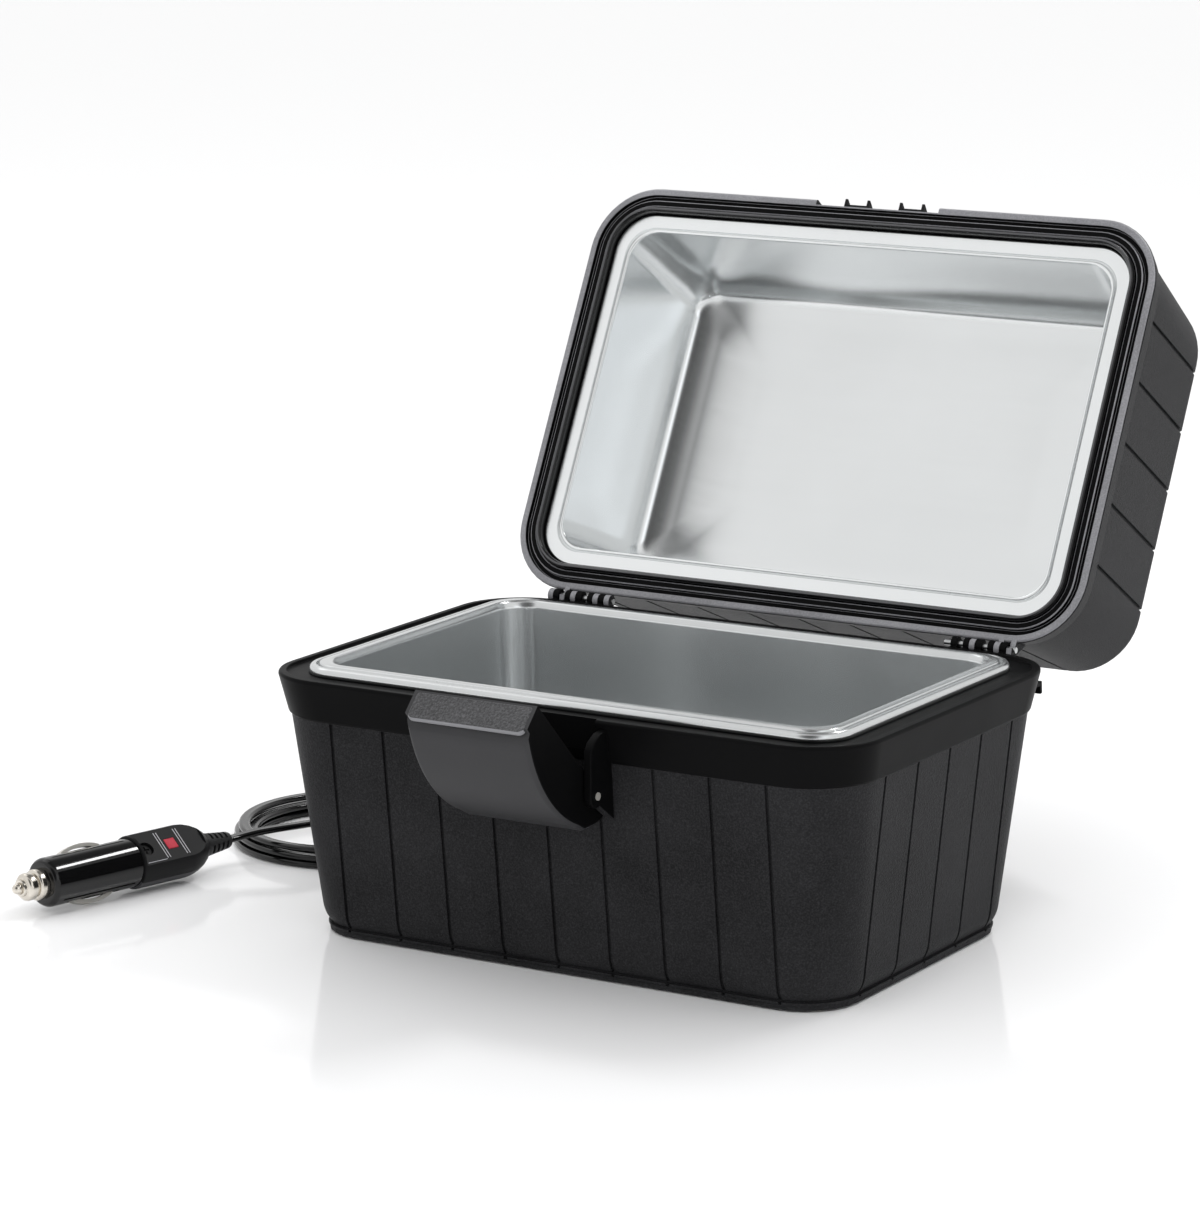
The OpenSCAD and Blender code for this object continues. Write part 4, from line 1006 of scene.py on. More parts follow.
@dataclass
class Lid:
    """The deep lid, drawn shut and then opened."""

    sizes: Sizes = SIZES
    height: float = 78.4
    band: float = 9.3

    def wall(self, z: float) -> float:
        """Inset of the lid's grooved wall at a height."""
        return 2.6 + (z - 115.8) * math.tan(math.radians(5.7))

    def shell(self) -> bpy.types.Object:
        """Builds the lid's moulding: walls, top, rim face, grooves and hinge fingers.

        Returns:
            The lid's shell.
        """
        s = self.sizes
        w, r = s.wall_radius, s.ring_radius
        low, top = s.lid_z, s.lid_z + self.height
        high = self.wall(top)
        shop = Shop()
        levels = [
            Level(109.3, 8.4, r(8.4), 0.3),
            Level(106.5, 8.4, r(8.4), 1.0),
            Level(106.5, 5.4, r(5.4), 0.9),
            Level(108.7, 5.3, r(5.3), 0.3),
            Level(108.7, 3.3, r(3.3), 0.3),
            Level(106.5, 3.1, r(3.1), 0.4),
            Level(106.5, 0.7, s.corner - 0.7, 0.5),
            Level(107.5, 0.0, s.corner, 0.5),
            Level(115.8, 1.6, w(1.6), 0.5),
            Level(116.4, 2.75, w(2.7), 0.5),
            Level(top - 5.2, self.wall(top - 5.2), w(high), 2.0),
            Level(top - 2.4, high + 0.9, w(high) - 0.9, 1.8),
            Level(top - 0.8, high + 3.6, w(high) - 3.0, 1.6),
            Level(top, high + 12.0, w(high) - 6.0, 6.0),
        ]
        outer = eased(levels, closed=False, steps=4)
        inner = [
            Level(top - 2.4, high + 12.0, w(high) - 7.0),
            Level(top - 2.5, high + 5.4, w(high) - 5.4),
            Level(top - 6.4, high + 2.4, w(high) - 2.4),
            Level(112.0, 5.1, w(2.6) - 2.4),
            Level(112.0, 15.2, r(15.2)),
            Level(109.3, 15.2, r(15.2)),
        ]
        walls = outer + inner
        rings = shop.loft(s.width, s.depth, walls[: len(outer)], closed=False)
        more = shop.loft(s.width, s.depth, walls[len(outer):], closed=False)
        bmesh.ops.contextual_create(shop.bm, geom=rings[-1])
        bmesh.ops.contextual_create(shop.bm, geom=more[0])
        bmesh.ops.bridge_loops(shop.bm, edges=rings[0] + more[-1])
        shop.mend()
        for side in (Side.FRONT, Side.BACK):
            shop.grooves(side, s.front_places, 1.5, 1.1, 116.6, top - 0.9)
        for side in (Side.LEFT, Side.RIGHT):
            shop.grooves(side, s.side_places, 1.5, 1.1, 116.6, top - 0.9)
        for sign in (-1, 1):
            self._fingers(shop, sign)
        made = to_object(shop, Piece("lid_shell_skin", Body.LID, ("lid_shell",), (SHELL_GRAIN, RIM_SATIN_AND_SHADE, LIP_HIGHLIGHT)))
        notch = Shop()
        notch.block((-28.5, -s.depth / 2 - 4, low - 3), (28.5, -s.depth / 2 + 2.5, low + self.band + 2))
        carve(made, [notch])
        for face in made.data.polygons:
            x, y, z = (v / MM for v in face.center)
            inner = self._inset(x, y) > 3.0
            # Painted highlight: the rim's outer lip and the ring's rounded ridges get the much lighter lip finish; the
            # inner ring face gets the rim satin.
            lit_ridge = face.normal.z < -0.5 and (not inner or face.normal.z > -0.95)
            face.material_index = (2 if lit_ridge else 1 if inner else 0) if z < 112.5 else 0
        made.data.transform(self._metres(s.lid_turn))
        return made

    def _inset(self, x: float, y: float) -> float:
        """How far a point lies inside the rim's rounded outline."""
        s = self.sizes
        past_x, past_y = abs(x) - s.width / 2 + s.corner, abs(y) - s.depth / 2 + s.corner
        if past_x > 0 and past_y > 0:
            return s.corner - math.hypot(past_x, past_y)
        return s.corner - max(past_x, past_y)

    def _metres(self, turn: Matrix) -> Matrix:
        """Gives a turn in millimetres as one in metres."""
        out = turn.copy()
        out.translation = turn.translation * MM
        return out

    def _fingers(self, shop: Shop, sign: int) -> None:
        """Adds the lid's half of one hinge, with the heels that stop it."""
        s = self.sizes
        back, y, z = s.depth / 2, s.hinge_y, s.hinge_z
        for k in range(0, 11, 2):
            x = sign * (107.2 - (k + 0.5) * 2.7)
            shop.rod((x - 1.2, y, z), (x + 1.2, y, z), 2.7, 24)
            outline = [(back - 3, s.lid_z + 0.2), (back - 3, s.lid_z + 8), (back - 1, s.lid_z + 8), (y + 2.7, z + 1.4), (y + 4.8, z - 0.2), (y + 4.9, z - 0.9), (y, z - 2.3), (y - 1, z + 0.3)]
            verts = shop.prism(outline, x - 1.2, x + 1.2)
            shop.bm.normal_update()
            shop.soften(shop.sharp(verts, 50.0), 0.2, 2)

    def catches(self) -> bpy.types.Object:
        """Builds the two catches that the latch hooks over.

        Returns:
            The catches.
        """
        s = self.sizes
        front = -s.depth / 2 + 2.5
        z = s.lid_z + 6
        shop = Shop()
        for sign in (-1, 1):
            mid = sign * s.catch_x
            plate = shop.block((mid - 5.8, front - 3.1, z), (mid + 5.8, front + 1.0, z + 1.6))
            shop.soften(shop.sharp(plate), 0.25, 2)
            for edge in (-1, 1):
                x = mid + edge * 5.15
                verts = shop.prism([(front + 1, z - 0.4), (front - 5.4, z - 0.4), (front - 4.2, z + 1.6), (front + 0.4, z + 9), (front + 1.4, z + 9)], x - 0.7, x + 0.7)
                shop.bm.normal_update()
                shop.soften(shop.sharp(verts, 40.0), 0.2, 2)
        return to_object(shop, Piece("lid_catches", Body.LID, (), (SHELL_GRAIN,)), s.lid_turn)

    def pan(self) -> bpy.types.Object:
        """Builds the lid's pressed pan with its flat flange.

        Returns:
            The pan.
        """
        s = self.sizes
        r = s.ring_radius
        shop = Shop()
        roof = 108.4 + 58.0 - 0.9

        def side(z: float) -> float:
            """Inset of the pan's wall at a height."""
            return 19.2 + (z - 108.4) * 0.12

        levels = [
            Level(108.75, 11.25, r(11.25)),
            Level(108.4, 11.7, r(11.7), 0.3),
            Level(108.4, 16.9, 12.6, 0.2),
            Level(109.2, 17.2, 12.5, 0.2),
            Level(109.2, 17.6, 12.5, 0.2),
            Level(108.2, 17.9, 12.5, 0.3),
            Level(108.2, 19.0, 12.4, 1.0),
            Level(roof - 4.6, side(roof - 5), 12.0, 5.0),
            Level(roof - 2.0, side(roof) + 9.0, 9.0, 4.0),
            Level(roof, side(roof) + 32.0, 6.0, 12.0),
            Level(roof, 66.0, 4.0),
        ]
        rings = shop.loft(s.width, s.depth, eased(levels, closed=False, steps=8), closed=False, steps=16)
        bmesh.ops.contextual_create(shop.bm, geom=rings[-1])
        shop.mend()
        flat = max(shop.bm.faces, key=lambda f: f.calc_area() if abs(f.normal.z) > 0.9 else 0.0)
        if flat.normal.z > 0:
            bmesh.ops.reverse_faces(shop.bm, faces=shop.bm.faces[:])
        made = to_object(shop, Piece("lid_pan_skin", Body.LID, ("lid_liner",), (PAN_SHEET, LID_FLANGE_LIT)), smooth_angle=60.0, keep_normals=True)
        thick = made.modifiers.new("sheet", "SOLIDIFY")
        thick.thickness, thick.offset = 0.85 * MM, -1.0
        thick.use_even_offset = False
        made.modifiers.move(1, 0)
        # Painted light: the flange, below 108.9 mm before the lid turns, gets the lighter flange finish.
        for face in made.data.polygons:
            face.material_index = 1 if face.center.z / MM < 108.9 else 0
        made.data.transform(self._metres(s.lid_turn))
        return made

    def gasket(self) -> bpy.types.Object:
        """Builds the rubber bead round the lid's pan.

        Returns:
            The gasket.
        """
        s = self.sizes
        r = s.ring_radius
        shop = Shop()
        levels = [
            Level(109.25, 8.7, r(8.7)),
            Level(105.6, 8.7, r(8.7), 0.7),
            Level(104.4, 9.3, r(9.3), 0.6),
            Level(104.4, 10.1, r(10.1), 0.6),
            Level(105.6, 10.9, r(10.9), 0.7),
            Level(109.25, 10.9, r(10.9)),
        ]
        shop.loft(s.width, s.depth, eased(levels, closed=True, steps=5), closed=True, steps=16)
        shop.mend()
        # Painted highlight: the bead's crown, facing down before the lid turns, gets the lighter bead finish.
        for face in shop.bm.faces:
            face.material_index = 1 if face.normal.z < -0.8 else 0
        return to_object(shop, Piece("lid_bead", Body.LID, ("lid_gasket",), (BEAD_RUBBER, BEAD_HIGHLIGHT)), s.lid_turn, smooth_angle=50.0)


# ------------------------------------------------------------------ latch


@dataclass
class Latch:
    """The front latch, drawn shut about its pin and then tipped forward."""

    sizes: Sizes = SIZES
    width: float = 53.0
    top: float = 53.8
    lip: float = 2.4

    def place(self) -> Matrix:
        """Where the drawn latch goes, in millimetres."""
        s = self.sizes
        return s.latch_turn @ Matrix.Translation((0, s.latch_y, s.latch_z))

    def _bulge(self, z: float, radius: float) -> float:
        """The front's y at a height, on an arc of that radius."""
        return 40.6 - math.sqrt(radius * radius - (z - 19.6) ** 2)

    def flap(self) -> bpy.types.Object:
        """Builds the curved flap, open at its back.

        Returns:
            The flap.
        """
        cap = self.top - 0.3
        front = [(self._bulge(z, 57.8), z) for z in [-2 + 50.6 * k / 14 for k in range(15)]]
        outline = [*front, (-5.6, cap - 2.4), (-5.4, cap), (4.7, cap), (4.7, 0.0), (5.4, -7.0), (1.5, -14.9), (-8.0, -10.4), (-11.5, -7.0)]
        shop = Shop()
        half = self.width / 2
        verts = shop.prism(outline, -half, half)
        shop.bm.normal_update()
        ends = [e for e in shop.sharp(verts, 40.0) if any(abs(f.normal.x) > 0.9 for f in e.link_faces)]
        shop.soften([e for e in ends if all(v.co.y < -5.0 and v.co.z < self.top - 3.2 for v in e.verts)], 3.4, 6)
        shop.bm.normal_update()
        # Painted shade: the flap's two side faces get the darker rim satin. Painted highlight: the flap's top faces get
        # the light latch finish.
        for face in shop.bm.faces:
            face.material_index = 2 if abs(face.normal.x) > 0.9 else 3 if face.normal.z > 0.9 and face.calc_center_median().z > cap - 0.5 else 0
        made = to_object(shop, Piece("latch_flap_skin", Body.LATCH, ("latch_flap",), (LATCH_SATIN, SHELL_GRAIN, RIM_SATIN_AND_SHADE, LATCH_HIGHLIGHT)), self.place(), smooth_angle=28.0)
        hollow, bore = Shop(), Shop()
        inner = [(self._bulge(z, 55.6), z) for z in [0 + 51.4 * k / 12 for k in range(13)]]
        hollow.prism([*inner, (6.5, 51.4), (6.5, 7.0), (1.0, 5.5), (-3.0, 4.6), (-7.0, 1.0)], -half + 2.2, half - 2.2)
        hollow.move(self.place())
        bore.rod((-40, 0, 0), (40, 0, 0), 1.55, 24)
        bore.move(self.place())
        carve(made, [hollow, bore])
        return made

    def lip_plate(self) -> bpy.types.Object:
        """Builds the grained finger plate along the latch's top.

        Returns:
            The plate.
        """
        shop = Shop()
        half = self.width / 2 - 1.3
        verts = shop.block((-half, -7.6, self.top - self.lip), (half, 4.0, self.top))
        upright = [e for e in shop.sharp(verts) if abs((e.verts[0].co - e.verts[1].co).normalized().z) > 0.9]
        shop.soften([e for e in upright if e.verts[0].co.y < 0], 2.4, 5)
        shop.soften([e for e in upright if e.is_valid and e.verts[0].co.y > 0], 1.4, 4)
        shop.bm.normal_update()
        rims = shop.sharp(shop.bm.verts[:], 40.0)
        shop.soften(rims, 0.7, 4)
        shop.bm.normal_update()
        # Painted highlight: the plate's front face and rounded front edges get the light latch finish.
        for face in shop.bm.faces:
            face.material_index = 1 if face.normal.y < -0.3 and face.normal.z < 0.85 else 0
        return to_object(shop, Piece("latch_lip", Body.LATCH, (), (LATCH_LEATHER, LATCH_HIGHLIGHT)), self.place(), smooth_angle=45.0)

    def hooks(self) -> bpy.types.Object:
        """Builds the two hooks inside the latch.

        Returns:
            The hooks.
        """
        shop = Shop()
        for sign in (-1, 1):
            mid = sign * self.sizes.catch_x
            verts = shop.prism([(-12.6, 37.2), (7.8, 37.2), (7.8, 38.6), (3.0, 39.8), (-10.0, 41.2), (-12.2, 41.2)], mid - 3.9, mid + 3.9)
            shop.bm.normal_update()
            shop.soften(shop.sharp(verts, 40.0), 0.3, 2)
        return to_object(shop, Piece("latch_hooks", Body.LATCH, (), (LATCH_SATIN,)), self.place())


# ------------------------------------------------------------------ lead


@dataclass
class Lead:
    """The flat twin lead: out of the back, into a coil and on to the plug."""

    half_width: float = 1.25
    core: float = 1.28
    coil: Point = (-180.0, 56.0, 0.0)
    out_route: tuple[Point, ...] = (
        (-85.0, 104.6, 20.0), (-85.0, 108.5, 20.0), (-85.0, 112.0, 19.7), (-86.5, 119.0, 17.5), (-91.0, 126.0, 13.5),
        (-98.0, 131.0, 9.0), (-107.0, 132.5, 6.0), (-115.5, 129.0, 4.0), (-122.0, 121.5, 3.0),
        (-126.5, 111.0, 2.8), (-129.5, 99.0, 3.0), (-131.0, 89.0, 3.0), (-131.2, 79.0, 2.4),
    )
    tail_route: tuple[Point, ...] = (
        (-150.0, 90.5, 10.9), (-145.5, 82.0, 12.4), (-145.3, 73.0, 13.2), (-149.5, 64.5, 13.5),
        (-157.0, 56.0, 13.5), (-167.0, 45.0, 13.5), (-176.0, 33.0, 13.6), (-182.0, 22.5, 13.7),
        (-185.5, 15.5, 13.7), (-190.0, 8.5, 13.5), (-195.0, 1.5, 12.9), (-198.3, -5.0, 12.2),
    )
    plug_end: Point = (-199.96, -11.0, 11.96)
    inside_boot: Point = (-203.21, -23.59, 11.96)

    def coil_points(self) -> list[Point]:
        """Gives the coil's turns, clockwise from above.

        Returns:
            Points along the turns, sixteen to a turn.
        """
        turns = 4.86
        knots = ((0.0, 50.6, 1.6), (0.9, 50.9, 1.5), (1.15, 45.6, 1.5), (1.9, 45.4, 1.6), (2.15, 50.5, 4.5), (2.9, 50.9, 4.4), (3.15, 45.7, 4.6), (3.9, 45.4, 4.7), (4.15, 49.0, 7.6), (4.6, 48.4, 7.9), (4.86, 47.0, 9.2))
        out: list[Point] = []
        steps = int(turns * 20)
        for i in range(steps + 1):
            t = turns * i / steps
            a = math.radians(10.0) - TAU * t
            k = max(j for j, knot in enumerate(knots) if knot[0] <= t + 1e-9)
            low, high = knots[k], knots[min(k + 1, len(knots) - 1)]
            share = 0.0 if high[0] == low[0] else (t - low[0]) / (high[0] - low[0])
            share = share * share * (3 - 2 * share)
            radius = low[1] + (high[1] - low[1]) * share + 0.35 * math.sin(2.0 * a + 1.3 * math.floor(t + 0.1))
            height = low[2] + (high[2] - low[2]) * share + (0.25 * math.sin(3.0 * a + t) if t > 2 else 0.0)
            out.append((self.coil[0] + radius * math.cos(a), self.coil[1] + radius * math.sin(a), height))
        return out

    def route(self) -> list[Vector]:
        """Gives the whole lead's centreline in millimetres, close enough together to bend evenly.

        Returns:
            Points from the bushing to the plug.
        """
        knots = [Vector(p) for p in (*self.out_route, *self.coil_points(), *self.tail_route, self.plug_end, self.inside_boot)]
        smooth: list[Vector] = []
        for i in range(len(knots) - 1):
            a, b, c, d = knots[max(i - 1, 0)], knots[i], knots[i + 1], knots[min(i + 2, len(knots) - 1)]
            parts = max(1, round((c - b).length / 3.0))
            for k in range(parts):
                t = k / parts
                smooth.append(0.5 * (2 * b + (c - a) * t + (2 * a - 5 * b + 4 * c - d) * t * t + (3 * b - a - 3 * c + d) * t ** 3))
        smooth.append(knots[-1])
        return smooth

    def build(self) -> bpy.types.Object:
        """Returns:
            The lead.
        """
        path = self.route()
        shop = Shop()
        section: list[bmesh.types.BMVert] = []
        for side in (1, -1):
            for k in range(9):
                a = math.radians(-115 + 230 * k / 8) + (0 if side == 1 else math.pi)
                section.append(shop.bm.verts.new((side * self.half_width + self.core * math.cos(a), self.core * math.sin(a), 0)))
        shape = [v.co.copy() for v in section]
        edges = [shop.bm.edges.new((section[i], section[(i + 1) % len(section)])) for i in range(len(section))]
        first = list(section)
        loop, verts = edges, section
        for i, here in enumerate(path):
            ahead = path[min(i + 1, len(path) - 1)] - path[max(i - 1, 0)]
            ahead.normalize()
            across = ahead.cross(Vector((0, 0, 1))).normalized()
            rise = across.cross(ahead)
            if i:
                grown = bmesh.ops.extrude_edge_only(shop.bm, edges=loop)["geom"]
                new = {v for v in grown if isinstance(v, bmesh.types.BMVert)}
                loop = [e for e in grown if isinstance(e, bmesh.types.BMEdge) and e.verts[0] in new and e.verts[1] in new]
                verts = self._matched(verts, new)
            for v, co in zip(verts, shape):
                v.co = here + across * co.x + rise * co.y
        bmesh.ops.contextual_create(shop.bm, geom=first)
        bmesh.ops.contextual_create(shop.bm, geom=verts)
        made = to_object(shop, Piece("lead_cord", Body.BASE, ("cord_lead", "cord_coil", "cord_tail"), (LEAD_SHEATH,)), smooth_angle=60.0)
        return made

    def _matched(self, old: Sequence[bmesh.types.BMVert], new: set[bmesh.types.BMVert]) -> list[bmesh.types.BMVert]:
        """Returns the new points in the order of the old ones that they grew from."""
        out = []
        for v in old:
            out.append(next(e.other_vert(v) for e in v.link_edges if e.other_vert(v) in new))
        return out

    def bushing(self) -> bpy.types.Object:
        """Builds the ribbed bushing that the lead leaves the tub by.

        Returns:
            The bushing.
        """
        shop = Shop()
        start = 78.6
        profile = [(70.4, 0.0), (70.4, 6.6), (70.8, 7.0), (71.8, 7.0), (72.1, 6.7), (72.1, 4.9), (start, 4.9), (start, 7.0), (start + 0.4, 7.4), (start + 1.6, 7.4), (start + 2.0, 7.0), (start + 3.0, 5.7)]
        for k in range(7):
            x = start + 4.4 + 3.1 * k
            r = 5.6 - 0.3 * k
            profile += [(x, r - 0.9), (x + 0.3, r), (x + 1.9, r - 0.1), (x + 2.2, r - 1.0)]
        profile += [(start + 25.6, 3.2), (start + 26.0, 3.0), (start + 26.0, 0.0)]
        shop.turned(profile, 40)
        turn = Matrix.Translation((-85, 0, 20)) @ Matrix.Rotation(math.radians(90), 4, "Z")
        return to_object(shop, Piece("lead_bushing", Body.BASE, ("cord_bushing",), (SOFT_RUBBER,)), turn, smooth_angle=40.0)


# ------------------------------------------------------------------ plug


@dataclass
class Plug:
    """The vehicle socket plug, drawn along X from its tip with its flat face up."""

    tip: Point = (-227.5, -117.5, 11.964)
    heading: float = 75.5
    roll: float = 67.0
    face_turn: float = -27.0
    barrel_start: float = 14.0
    barrel_end: float = 58.0
    rear: float = 96.0
    barrel_r: float = 10.0
    housing_r: float = 11.0
    flat: float = 7.6

    def place(self) -> Matrix:
        """Where the drawn plug goes, in millimetres."""
        return (
            Matrix.Translation(self.tip)
            @ Matrix.Rotation(math.radians(self.heading), 4, "Z")
            @ Matrix.Rotation(math.radians(self.roll), 4, "X")
        )

    def face_place(self) -> Matrix:
        """Where the housing goes, turned so that its flat face lies off the contacts."""
        return self.place() @ Matrix.Rotation(math.radians(self.face_turn), 4, "X")

    def barrel(self) -> bpy.types.Object:
        """Builds the glossy barrel with its long ribs and side slots.

        Returns:
            The barrel.
        """
        a, b, r = self.barrel_start, self.barrel_end, self.barrel_r
        shop = Shop()
        shop.turned([(a, 0.0), (a, r - 1.6), (a + 0.4, r - 0.9), (a + 1.4, r - 0.25), (a + 2.4, r), (b - 0.05, r), (b - 0.05, 0.0)], 72)
        shop.mend()
        made = to_object(shop, Piece("plug_barrel_skin", Body.BASE, ("plug_barrel",), (PLUG_GLOSS,)), self.place())
        cuts: list[Shop] = []
        for sign in (-1, 1):
            slot = Shop()
            low, high = sorted((sign * 5.2, sign * 14.0))
            verts = slot.block((22.0, low, -2.2), (49.0, high, 2.2))
            slot.soften([e for e in slot.sharp(verts) if abs((e.verts[0].co - e.verts[1].co).normalized().y) > 0.9], 1.2, 3)
            slot.move(self.place())
            cuts.append(slot)
        for degrees in (62.0, 118.0, -62.0, -118.0):
            line = Shop()
            line.block((19.0, -0.45, r - 0.5), (b - 3.0, 0.45, r + 1.0))
            line.move(self.place() @ Matrix.Rotation(math.radians(degrees), 4, "X"))
            cuts.append(line)
        core = Shop()
        core.rod((a - 1, 0, 0), (a + 5.8, 0, 0), 5.7, 40)
        core.move(self.place())
        cuts.append(core)
        carve(made, cuts)
        return made

    def nose(self) -> bpy.types.Object:
        """Builds the plated nose cap with its turned rings.

        Returns:
            The cap.
        """
        a = self.barrel_start
        shop = Shop()
        profile = [
            (4.6, 2.32), (3.1, 2.32), (3.0, 2.6), (3.0, 3.1), (3.3, 3.4), (4.4, 3.5), (4.6, 3.9), (4.9, 4.9), (5.5, 5.4), (6.2, 5.6),
            (8.2, 5.6), (8.7, 5.3), (8.9, 4.8), (9.5, 4.8), (9.7, 5.5), (10.1, 6.1), (10.6, 6.3), (13.4, 6.3), (13.9, 6.0), (13.9, 5.6), (19.6, 5.6), (19.6, 4.0), (4.6, 4.0), (4.6, 2.32),
        ]
        shop.turned(profile, 56)
        return to_object(shop, Piece("plug_nose", Body.BASE, ("plug_nose_cap",), (NICKEL_PLATE,)), self.place(), smooth_angle=36.0)

    def pin(self) -> bpy.types.Object:
        """Builds the sprung tip.

        Returns:
            The tip.
        """
        shop = Shop()
        shop.turned([(0.0, 0.0), (0.06, 0.7), (0.3, 1.25), (0.7, 1.65), (1.2, 1.95), (1.8, 2.15), (2.3, 2.2), (4.8, 2.2), (4.8, 3.6), (8.68, 3.6), (8.68, 0.0)], 40)
        return to_object(shop, Piece("plug_pin", Body.TIP, ("plug_tip",), (NICKEL_PLATE,)), self.place(), smooth_angle=40.0)

    def contact(self, body: Body, sign: int, node: str) -> bpy.types.Object:
        """Builds one bowed side contact.

        Args:
            body: the body that it rides on.
            sign: 1 for the side towards +Y of the drawn plug, or -1.
            node: the CAD node that it stands for.

        Returns:
            The contact.
        """
        shop = Shop()
        low, high, start, stop = 7.95, 12.15, 24.1, 46.9
        outer = []
        for k in range(13):
            t = k / 12
            outer.append((start + (stop - start) * t, low + (high - low) * math.sin(math.pi * t) ** 0.45))
        inner = [(x, max(y - 1.6, low - 0.15)) for x, y in reversed(outer[1:-1])]
        face = shop.bm.faces.new([shop.bm.verts.new((x, sign * y, -1.7)) for x, y in outer + inner])
        more = bmesh.ops.extrude_face_region(shop.bm, geom=[face], use_keep_orig=True)
        bmesh.ops.translate(shop.bm, vec=(0, 0, 3.4), verts=[v for v in more["geom"] if isinstance(v, bmesh.types.BMVert)])
        shop.mend()
        shop.soften(shop.sharp(shop.bm.verts[:], 50.0), 0.15, 2)
        return to_object(shop, Piece(f"{node}_skin", body, (node,), (CONTACT_PLATE,)), self.place(), smooth_angle=40.0)

    def _housing_profile(self) -> list[Flat]:
        """Side view of the housing, from its front to its rear."""
        a, b, r = self.barrel_end, self.rear, self.housing_r
        return [(a + 0.05, 0.0), (a + 0.05, r - 0.7), (a + 0.3, r - 0.2), (a + 0.9, r), (b - 12.5, r), (b - 9.5, r - 0.35), (b - 6.5, r - 1.25), (b - 3.6, r - 2.6), (b - 1.6, r - 4.0), (b - 0.4, r - 5.3), (b - 0.1, r - 5.9), (b - 0.1, 0.0)]

    def housing(self, upper: bool) -> bpy.types.Object:
        """Builds one half of the housing.

        Args:
            upper: whether it is the half with the flat face.

        Returns:
            The half.
        """
        a, b = self.barrel_end, self.rear
        shop = Shop()
        shop.turned(self._housing_profile(), 64)
        shop.mend()
        cut = bmesh.ops.bisect_plane(shop.bm, geom=shop.bm.verts[:] + shop.bm.edges[:] + shop.bm.faces[:], dist=1e-5, plane_co=(0, 0, 0.06 if upper else -0.06), plane_no=(0, 0, 1), clear_inner=upper, clear_outer=not upper)
        rim = [e for e in cut["geom_cut"] if isinstance(e, bmesh.types.BMEdge)]
        bmesh.ops.contextual_create(shop.bm, geom=rim)
        shop.mend()
        shop.soften(shop.sharp(shop.bm.verts[:], 70.0), 0.18, 2)
        node = "plug_housing_top" if upper else "plug_housing_bottom"
        made = to_object(shop, Piece(f"{node}_skin", Body.BASE, (node,), (PLUG_SATIN if upper else PLUG_LOWER_GREY,)), self.face_place(), smooth_angle=36.0)
        if upper:
            face, well, window = Shop(), Shop(), Shop()
            verts = face.block((a + 1.0, -12, self.flat), (b - 4.0, 12, 14))
            face.soften([e for e in face.sharp(verts) if abs((e.verts[0].co - e.verts[1].co).normalized().z) > 0.9], 4.0, 6)
            well.rod((a + 5.5, 0, self.flat - 2.6), (a + 5.5, 0, 14), 3.2, 40)
            window.block((a + 15.5, -2.6, self.flat - 2.2), (a + 20.9, 2.6, 14))
            for shape in (face, well, window):
                shape.move(self.face_place())
            carve(made, [face, well, window])
        return made

    def lamp(self) -> bpy.types.Object:
        """Builds the red window of the lamp.

        Returns:
            The window.
        """
        a = self.barrel_end
        shop = Shop()
        verts = shop.block((a + 15.6, -2.5, self.flat - 2.1), (a + 20.8, 2.5, self.flat + 0.1))
        shop.soften(shop.sharp(verts), 0.35, 3)
        return to_object(shop, Piece("plug_window", Body.BASE, ("plug_lamp",), (RED_LENS,)), self.face_place())

    def stripes(self) -> bpy.types.Object:
        """Builds the thin pale lines printed beside the window.

        Returns:
            The lines.
        """
        a = self.barrel_end
        shop = Shop()
        for x in (12.6, 13.9, 22.6, 23.9):
            shop.block((a + x, -6.4, self.flat - 0.05), (a + x + 0.35, 6.4, self.flat + 0.05))
        shop.block((a + 2.2, -7.0, self.flat - 0.05), (a + 12.0, -6.75, self.flat + 0.05))
        return to_object(shop, Piece("plug_stripes", Body.BASE, (), (PALE_INK,)), self.face_place())

    def boot(self) -> bpy.types.Object:
        """Builds the boot with its staggered flexing slots.

        Returns:
            The boot.
        """
        b = self.rear
        shop = Shop()
        shop.turned([(b, 0.0), (b, 4.9), (b + 1.4, 5.0), (b + 2.0, 4.8), (b + 12.8, 3.5), (b + 13.8, 3.1), (b + 14.0, 2.6), (b + 14.0, 0.0)], 48)
        made = to_object(shop, Piece("plug_boot_skin", Body.BASE, ("plug_boot",), (SOFT_RUBBER,)), self.place(), smooth_angle=40.0)
        cuts = []
        for row in range(4):
            for quarter in range(4):
                slot = Shop()
                x = b + 2.6 + 2.6 * row
                slot.block((x, -2.1, 2.6), (x + 1.2, 2.1, 7.0))
                slot.move(self.place() @ Matrix.Rotation(math.radians(90 * quarter + 45), 4, "X"))
                cuts.append(slot)
        carve(made, cuts)
        return made


# ------------------------------------------------------------------ what stays as constructed


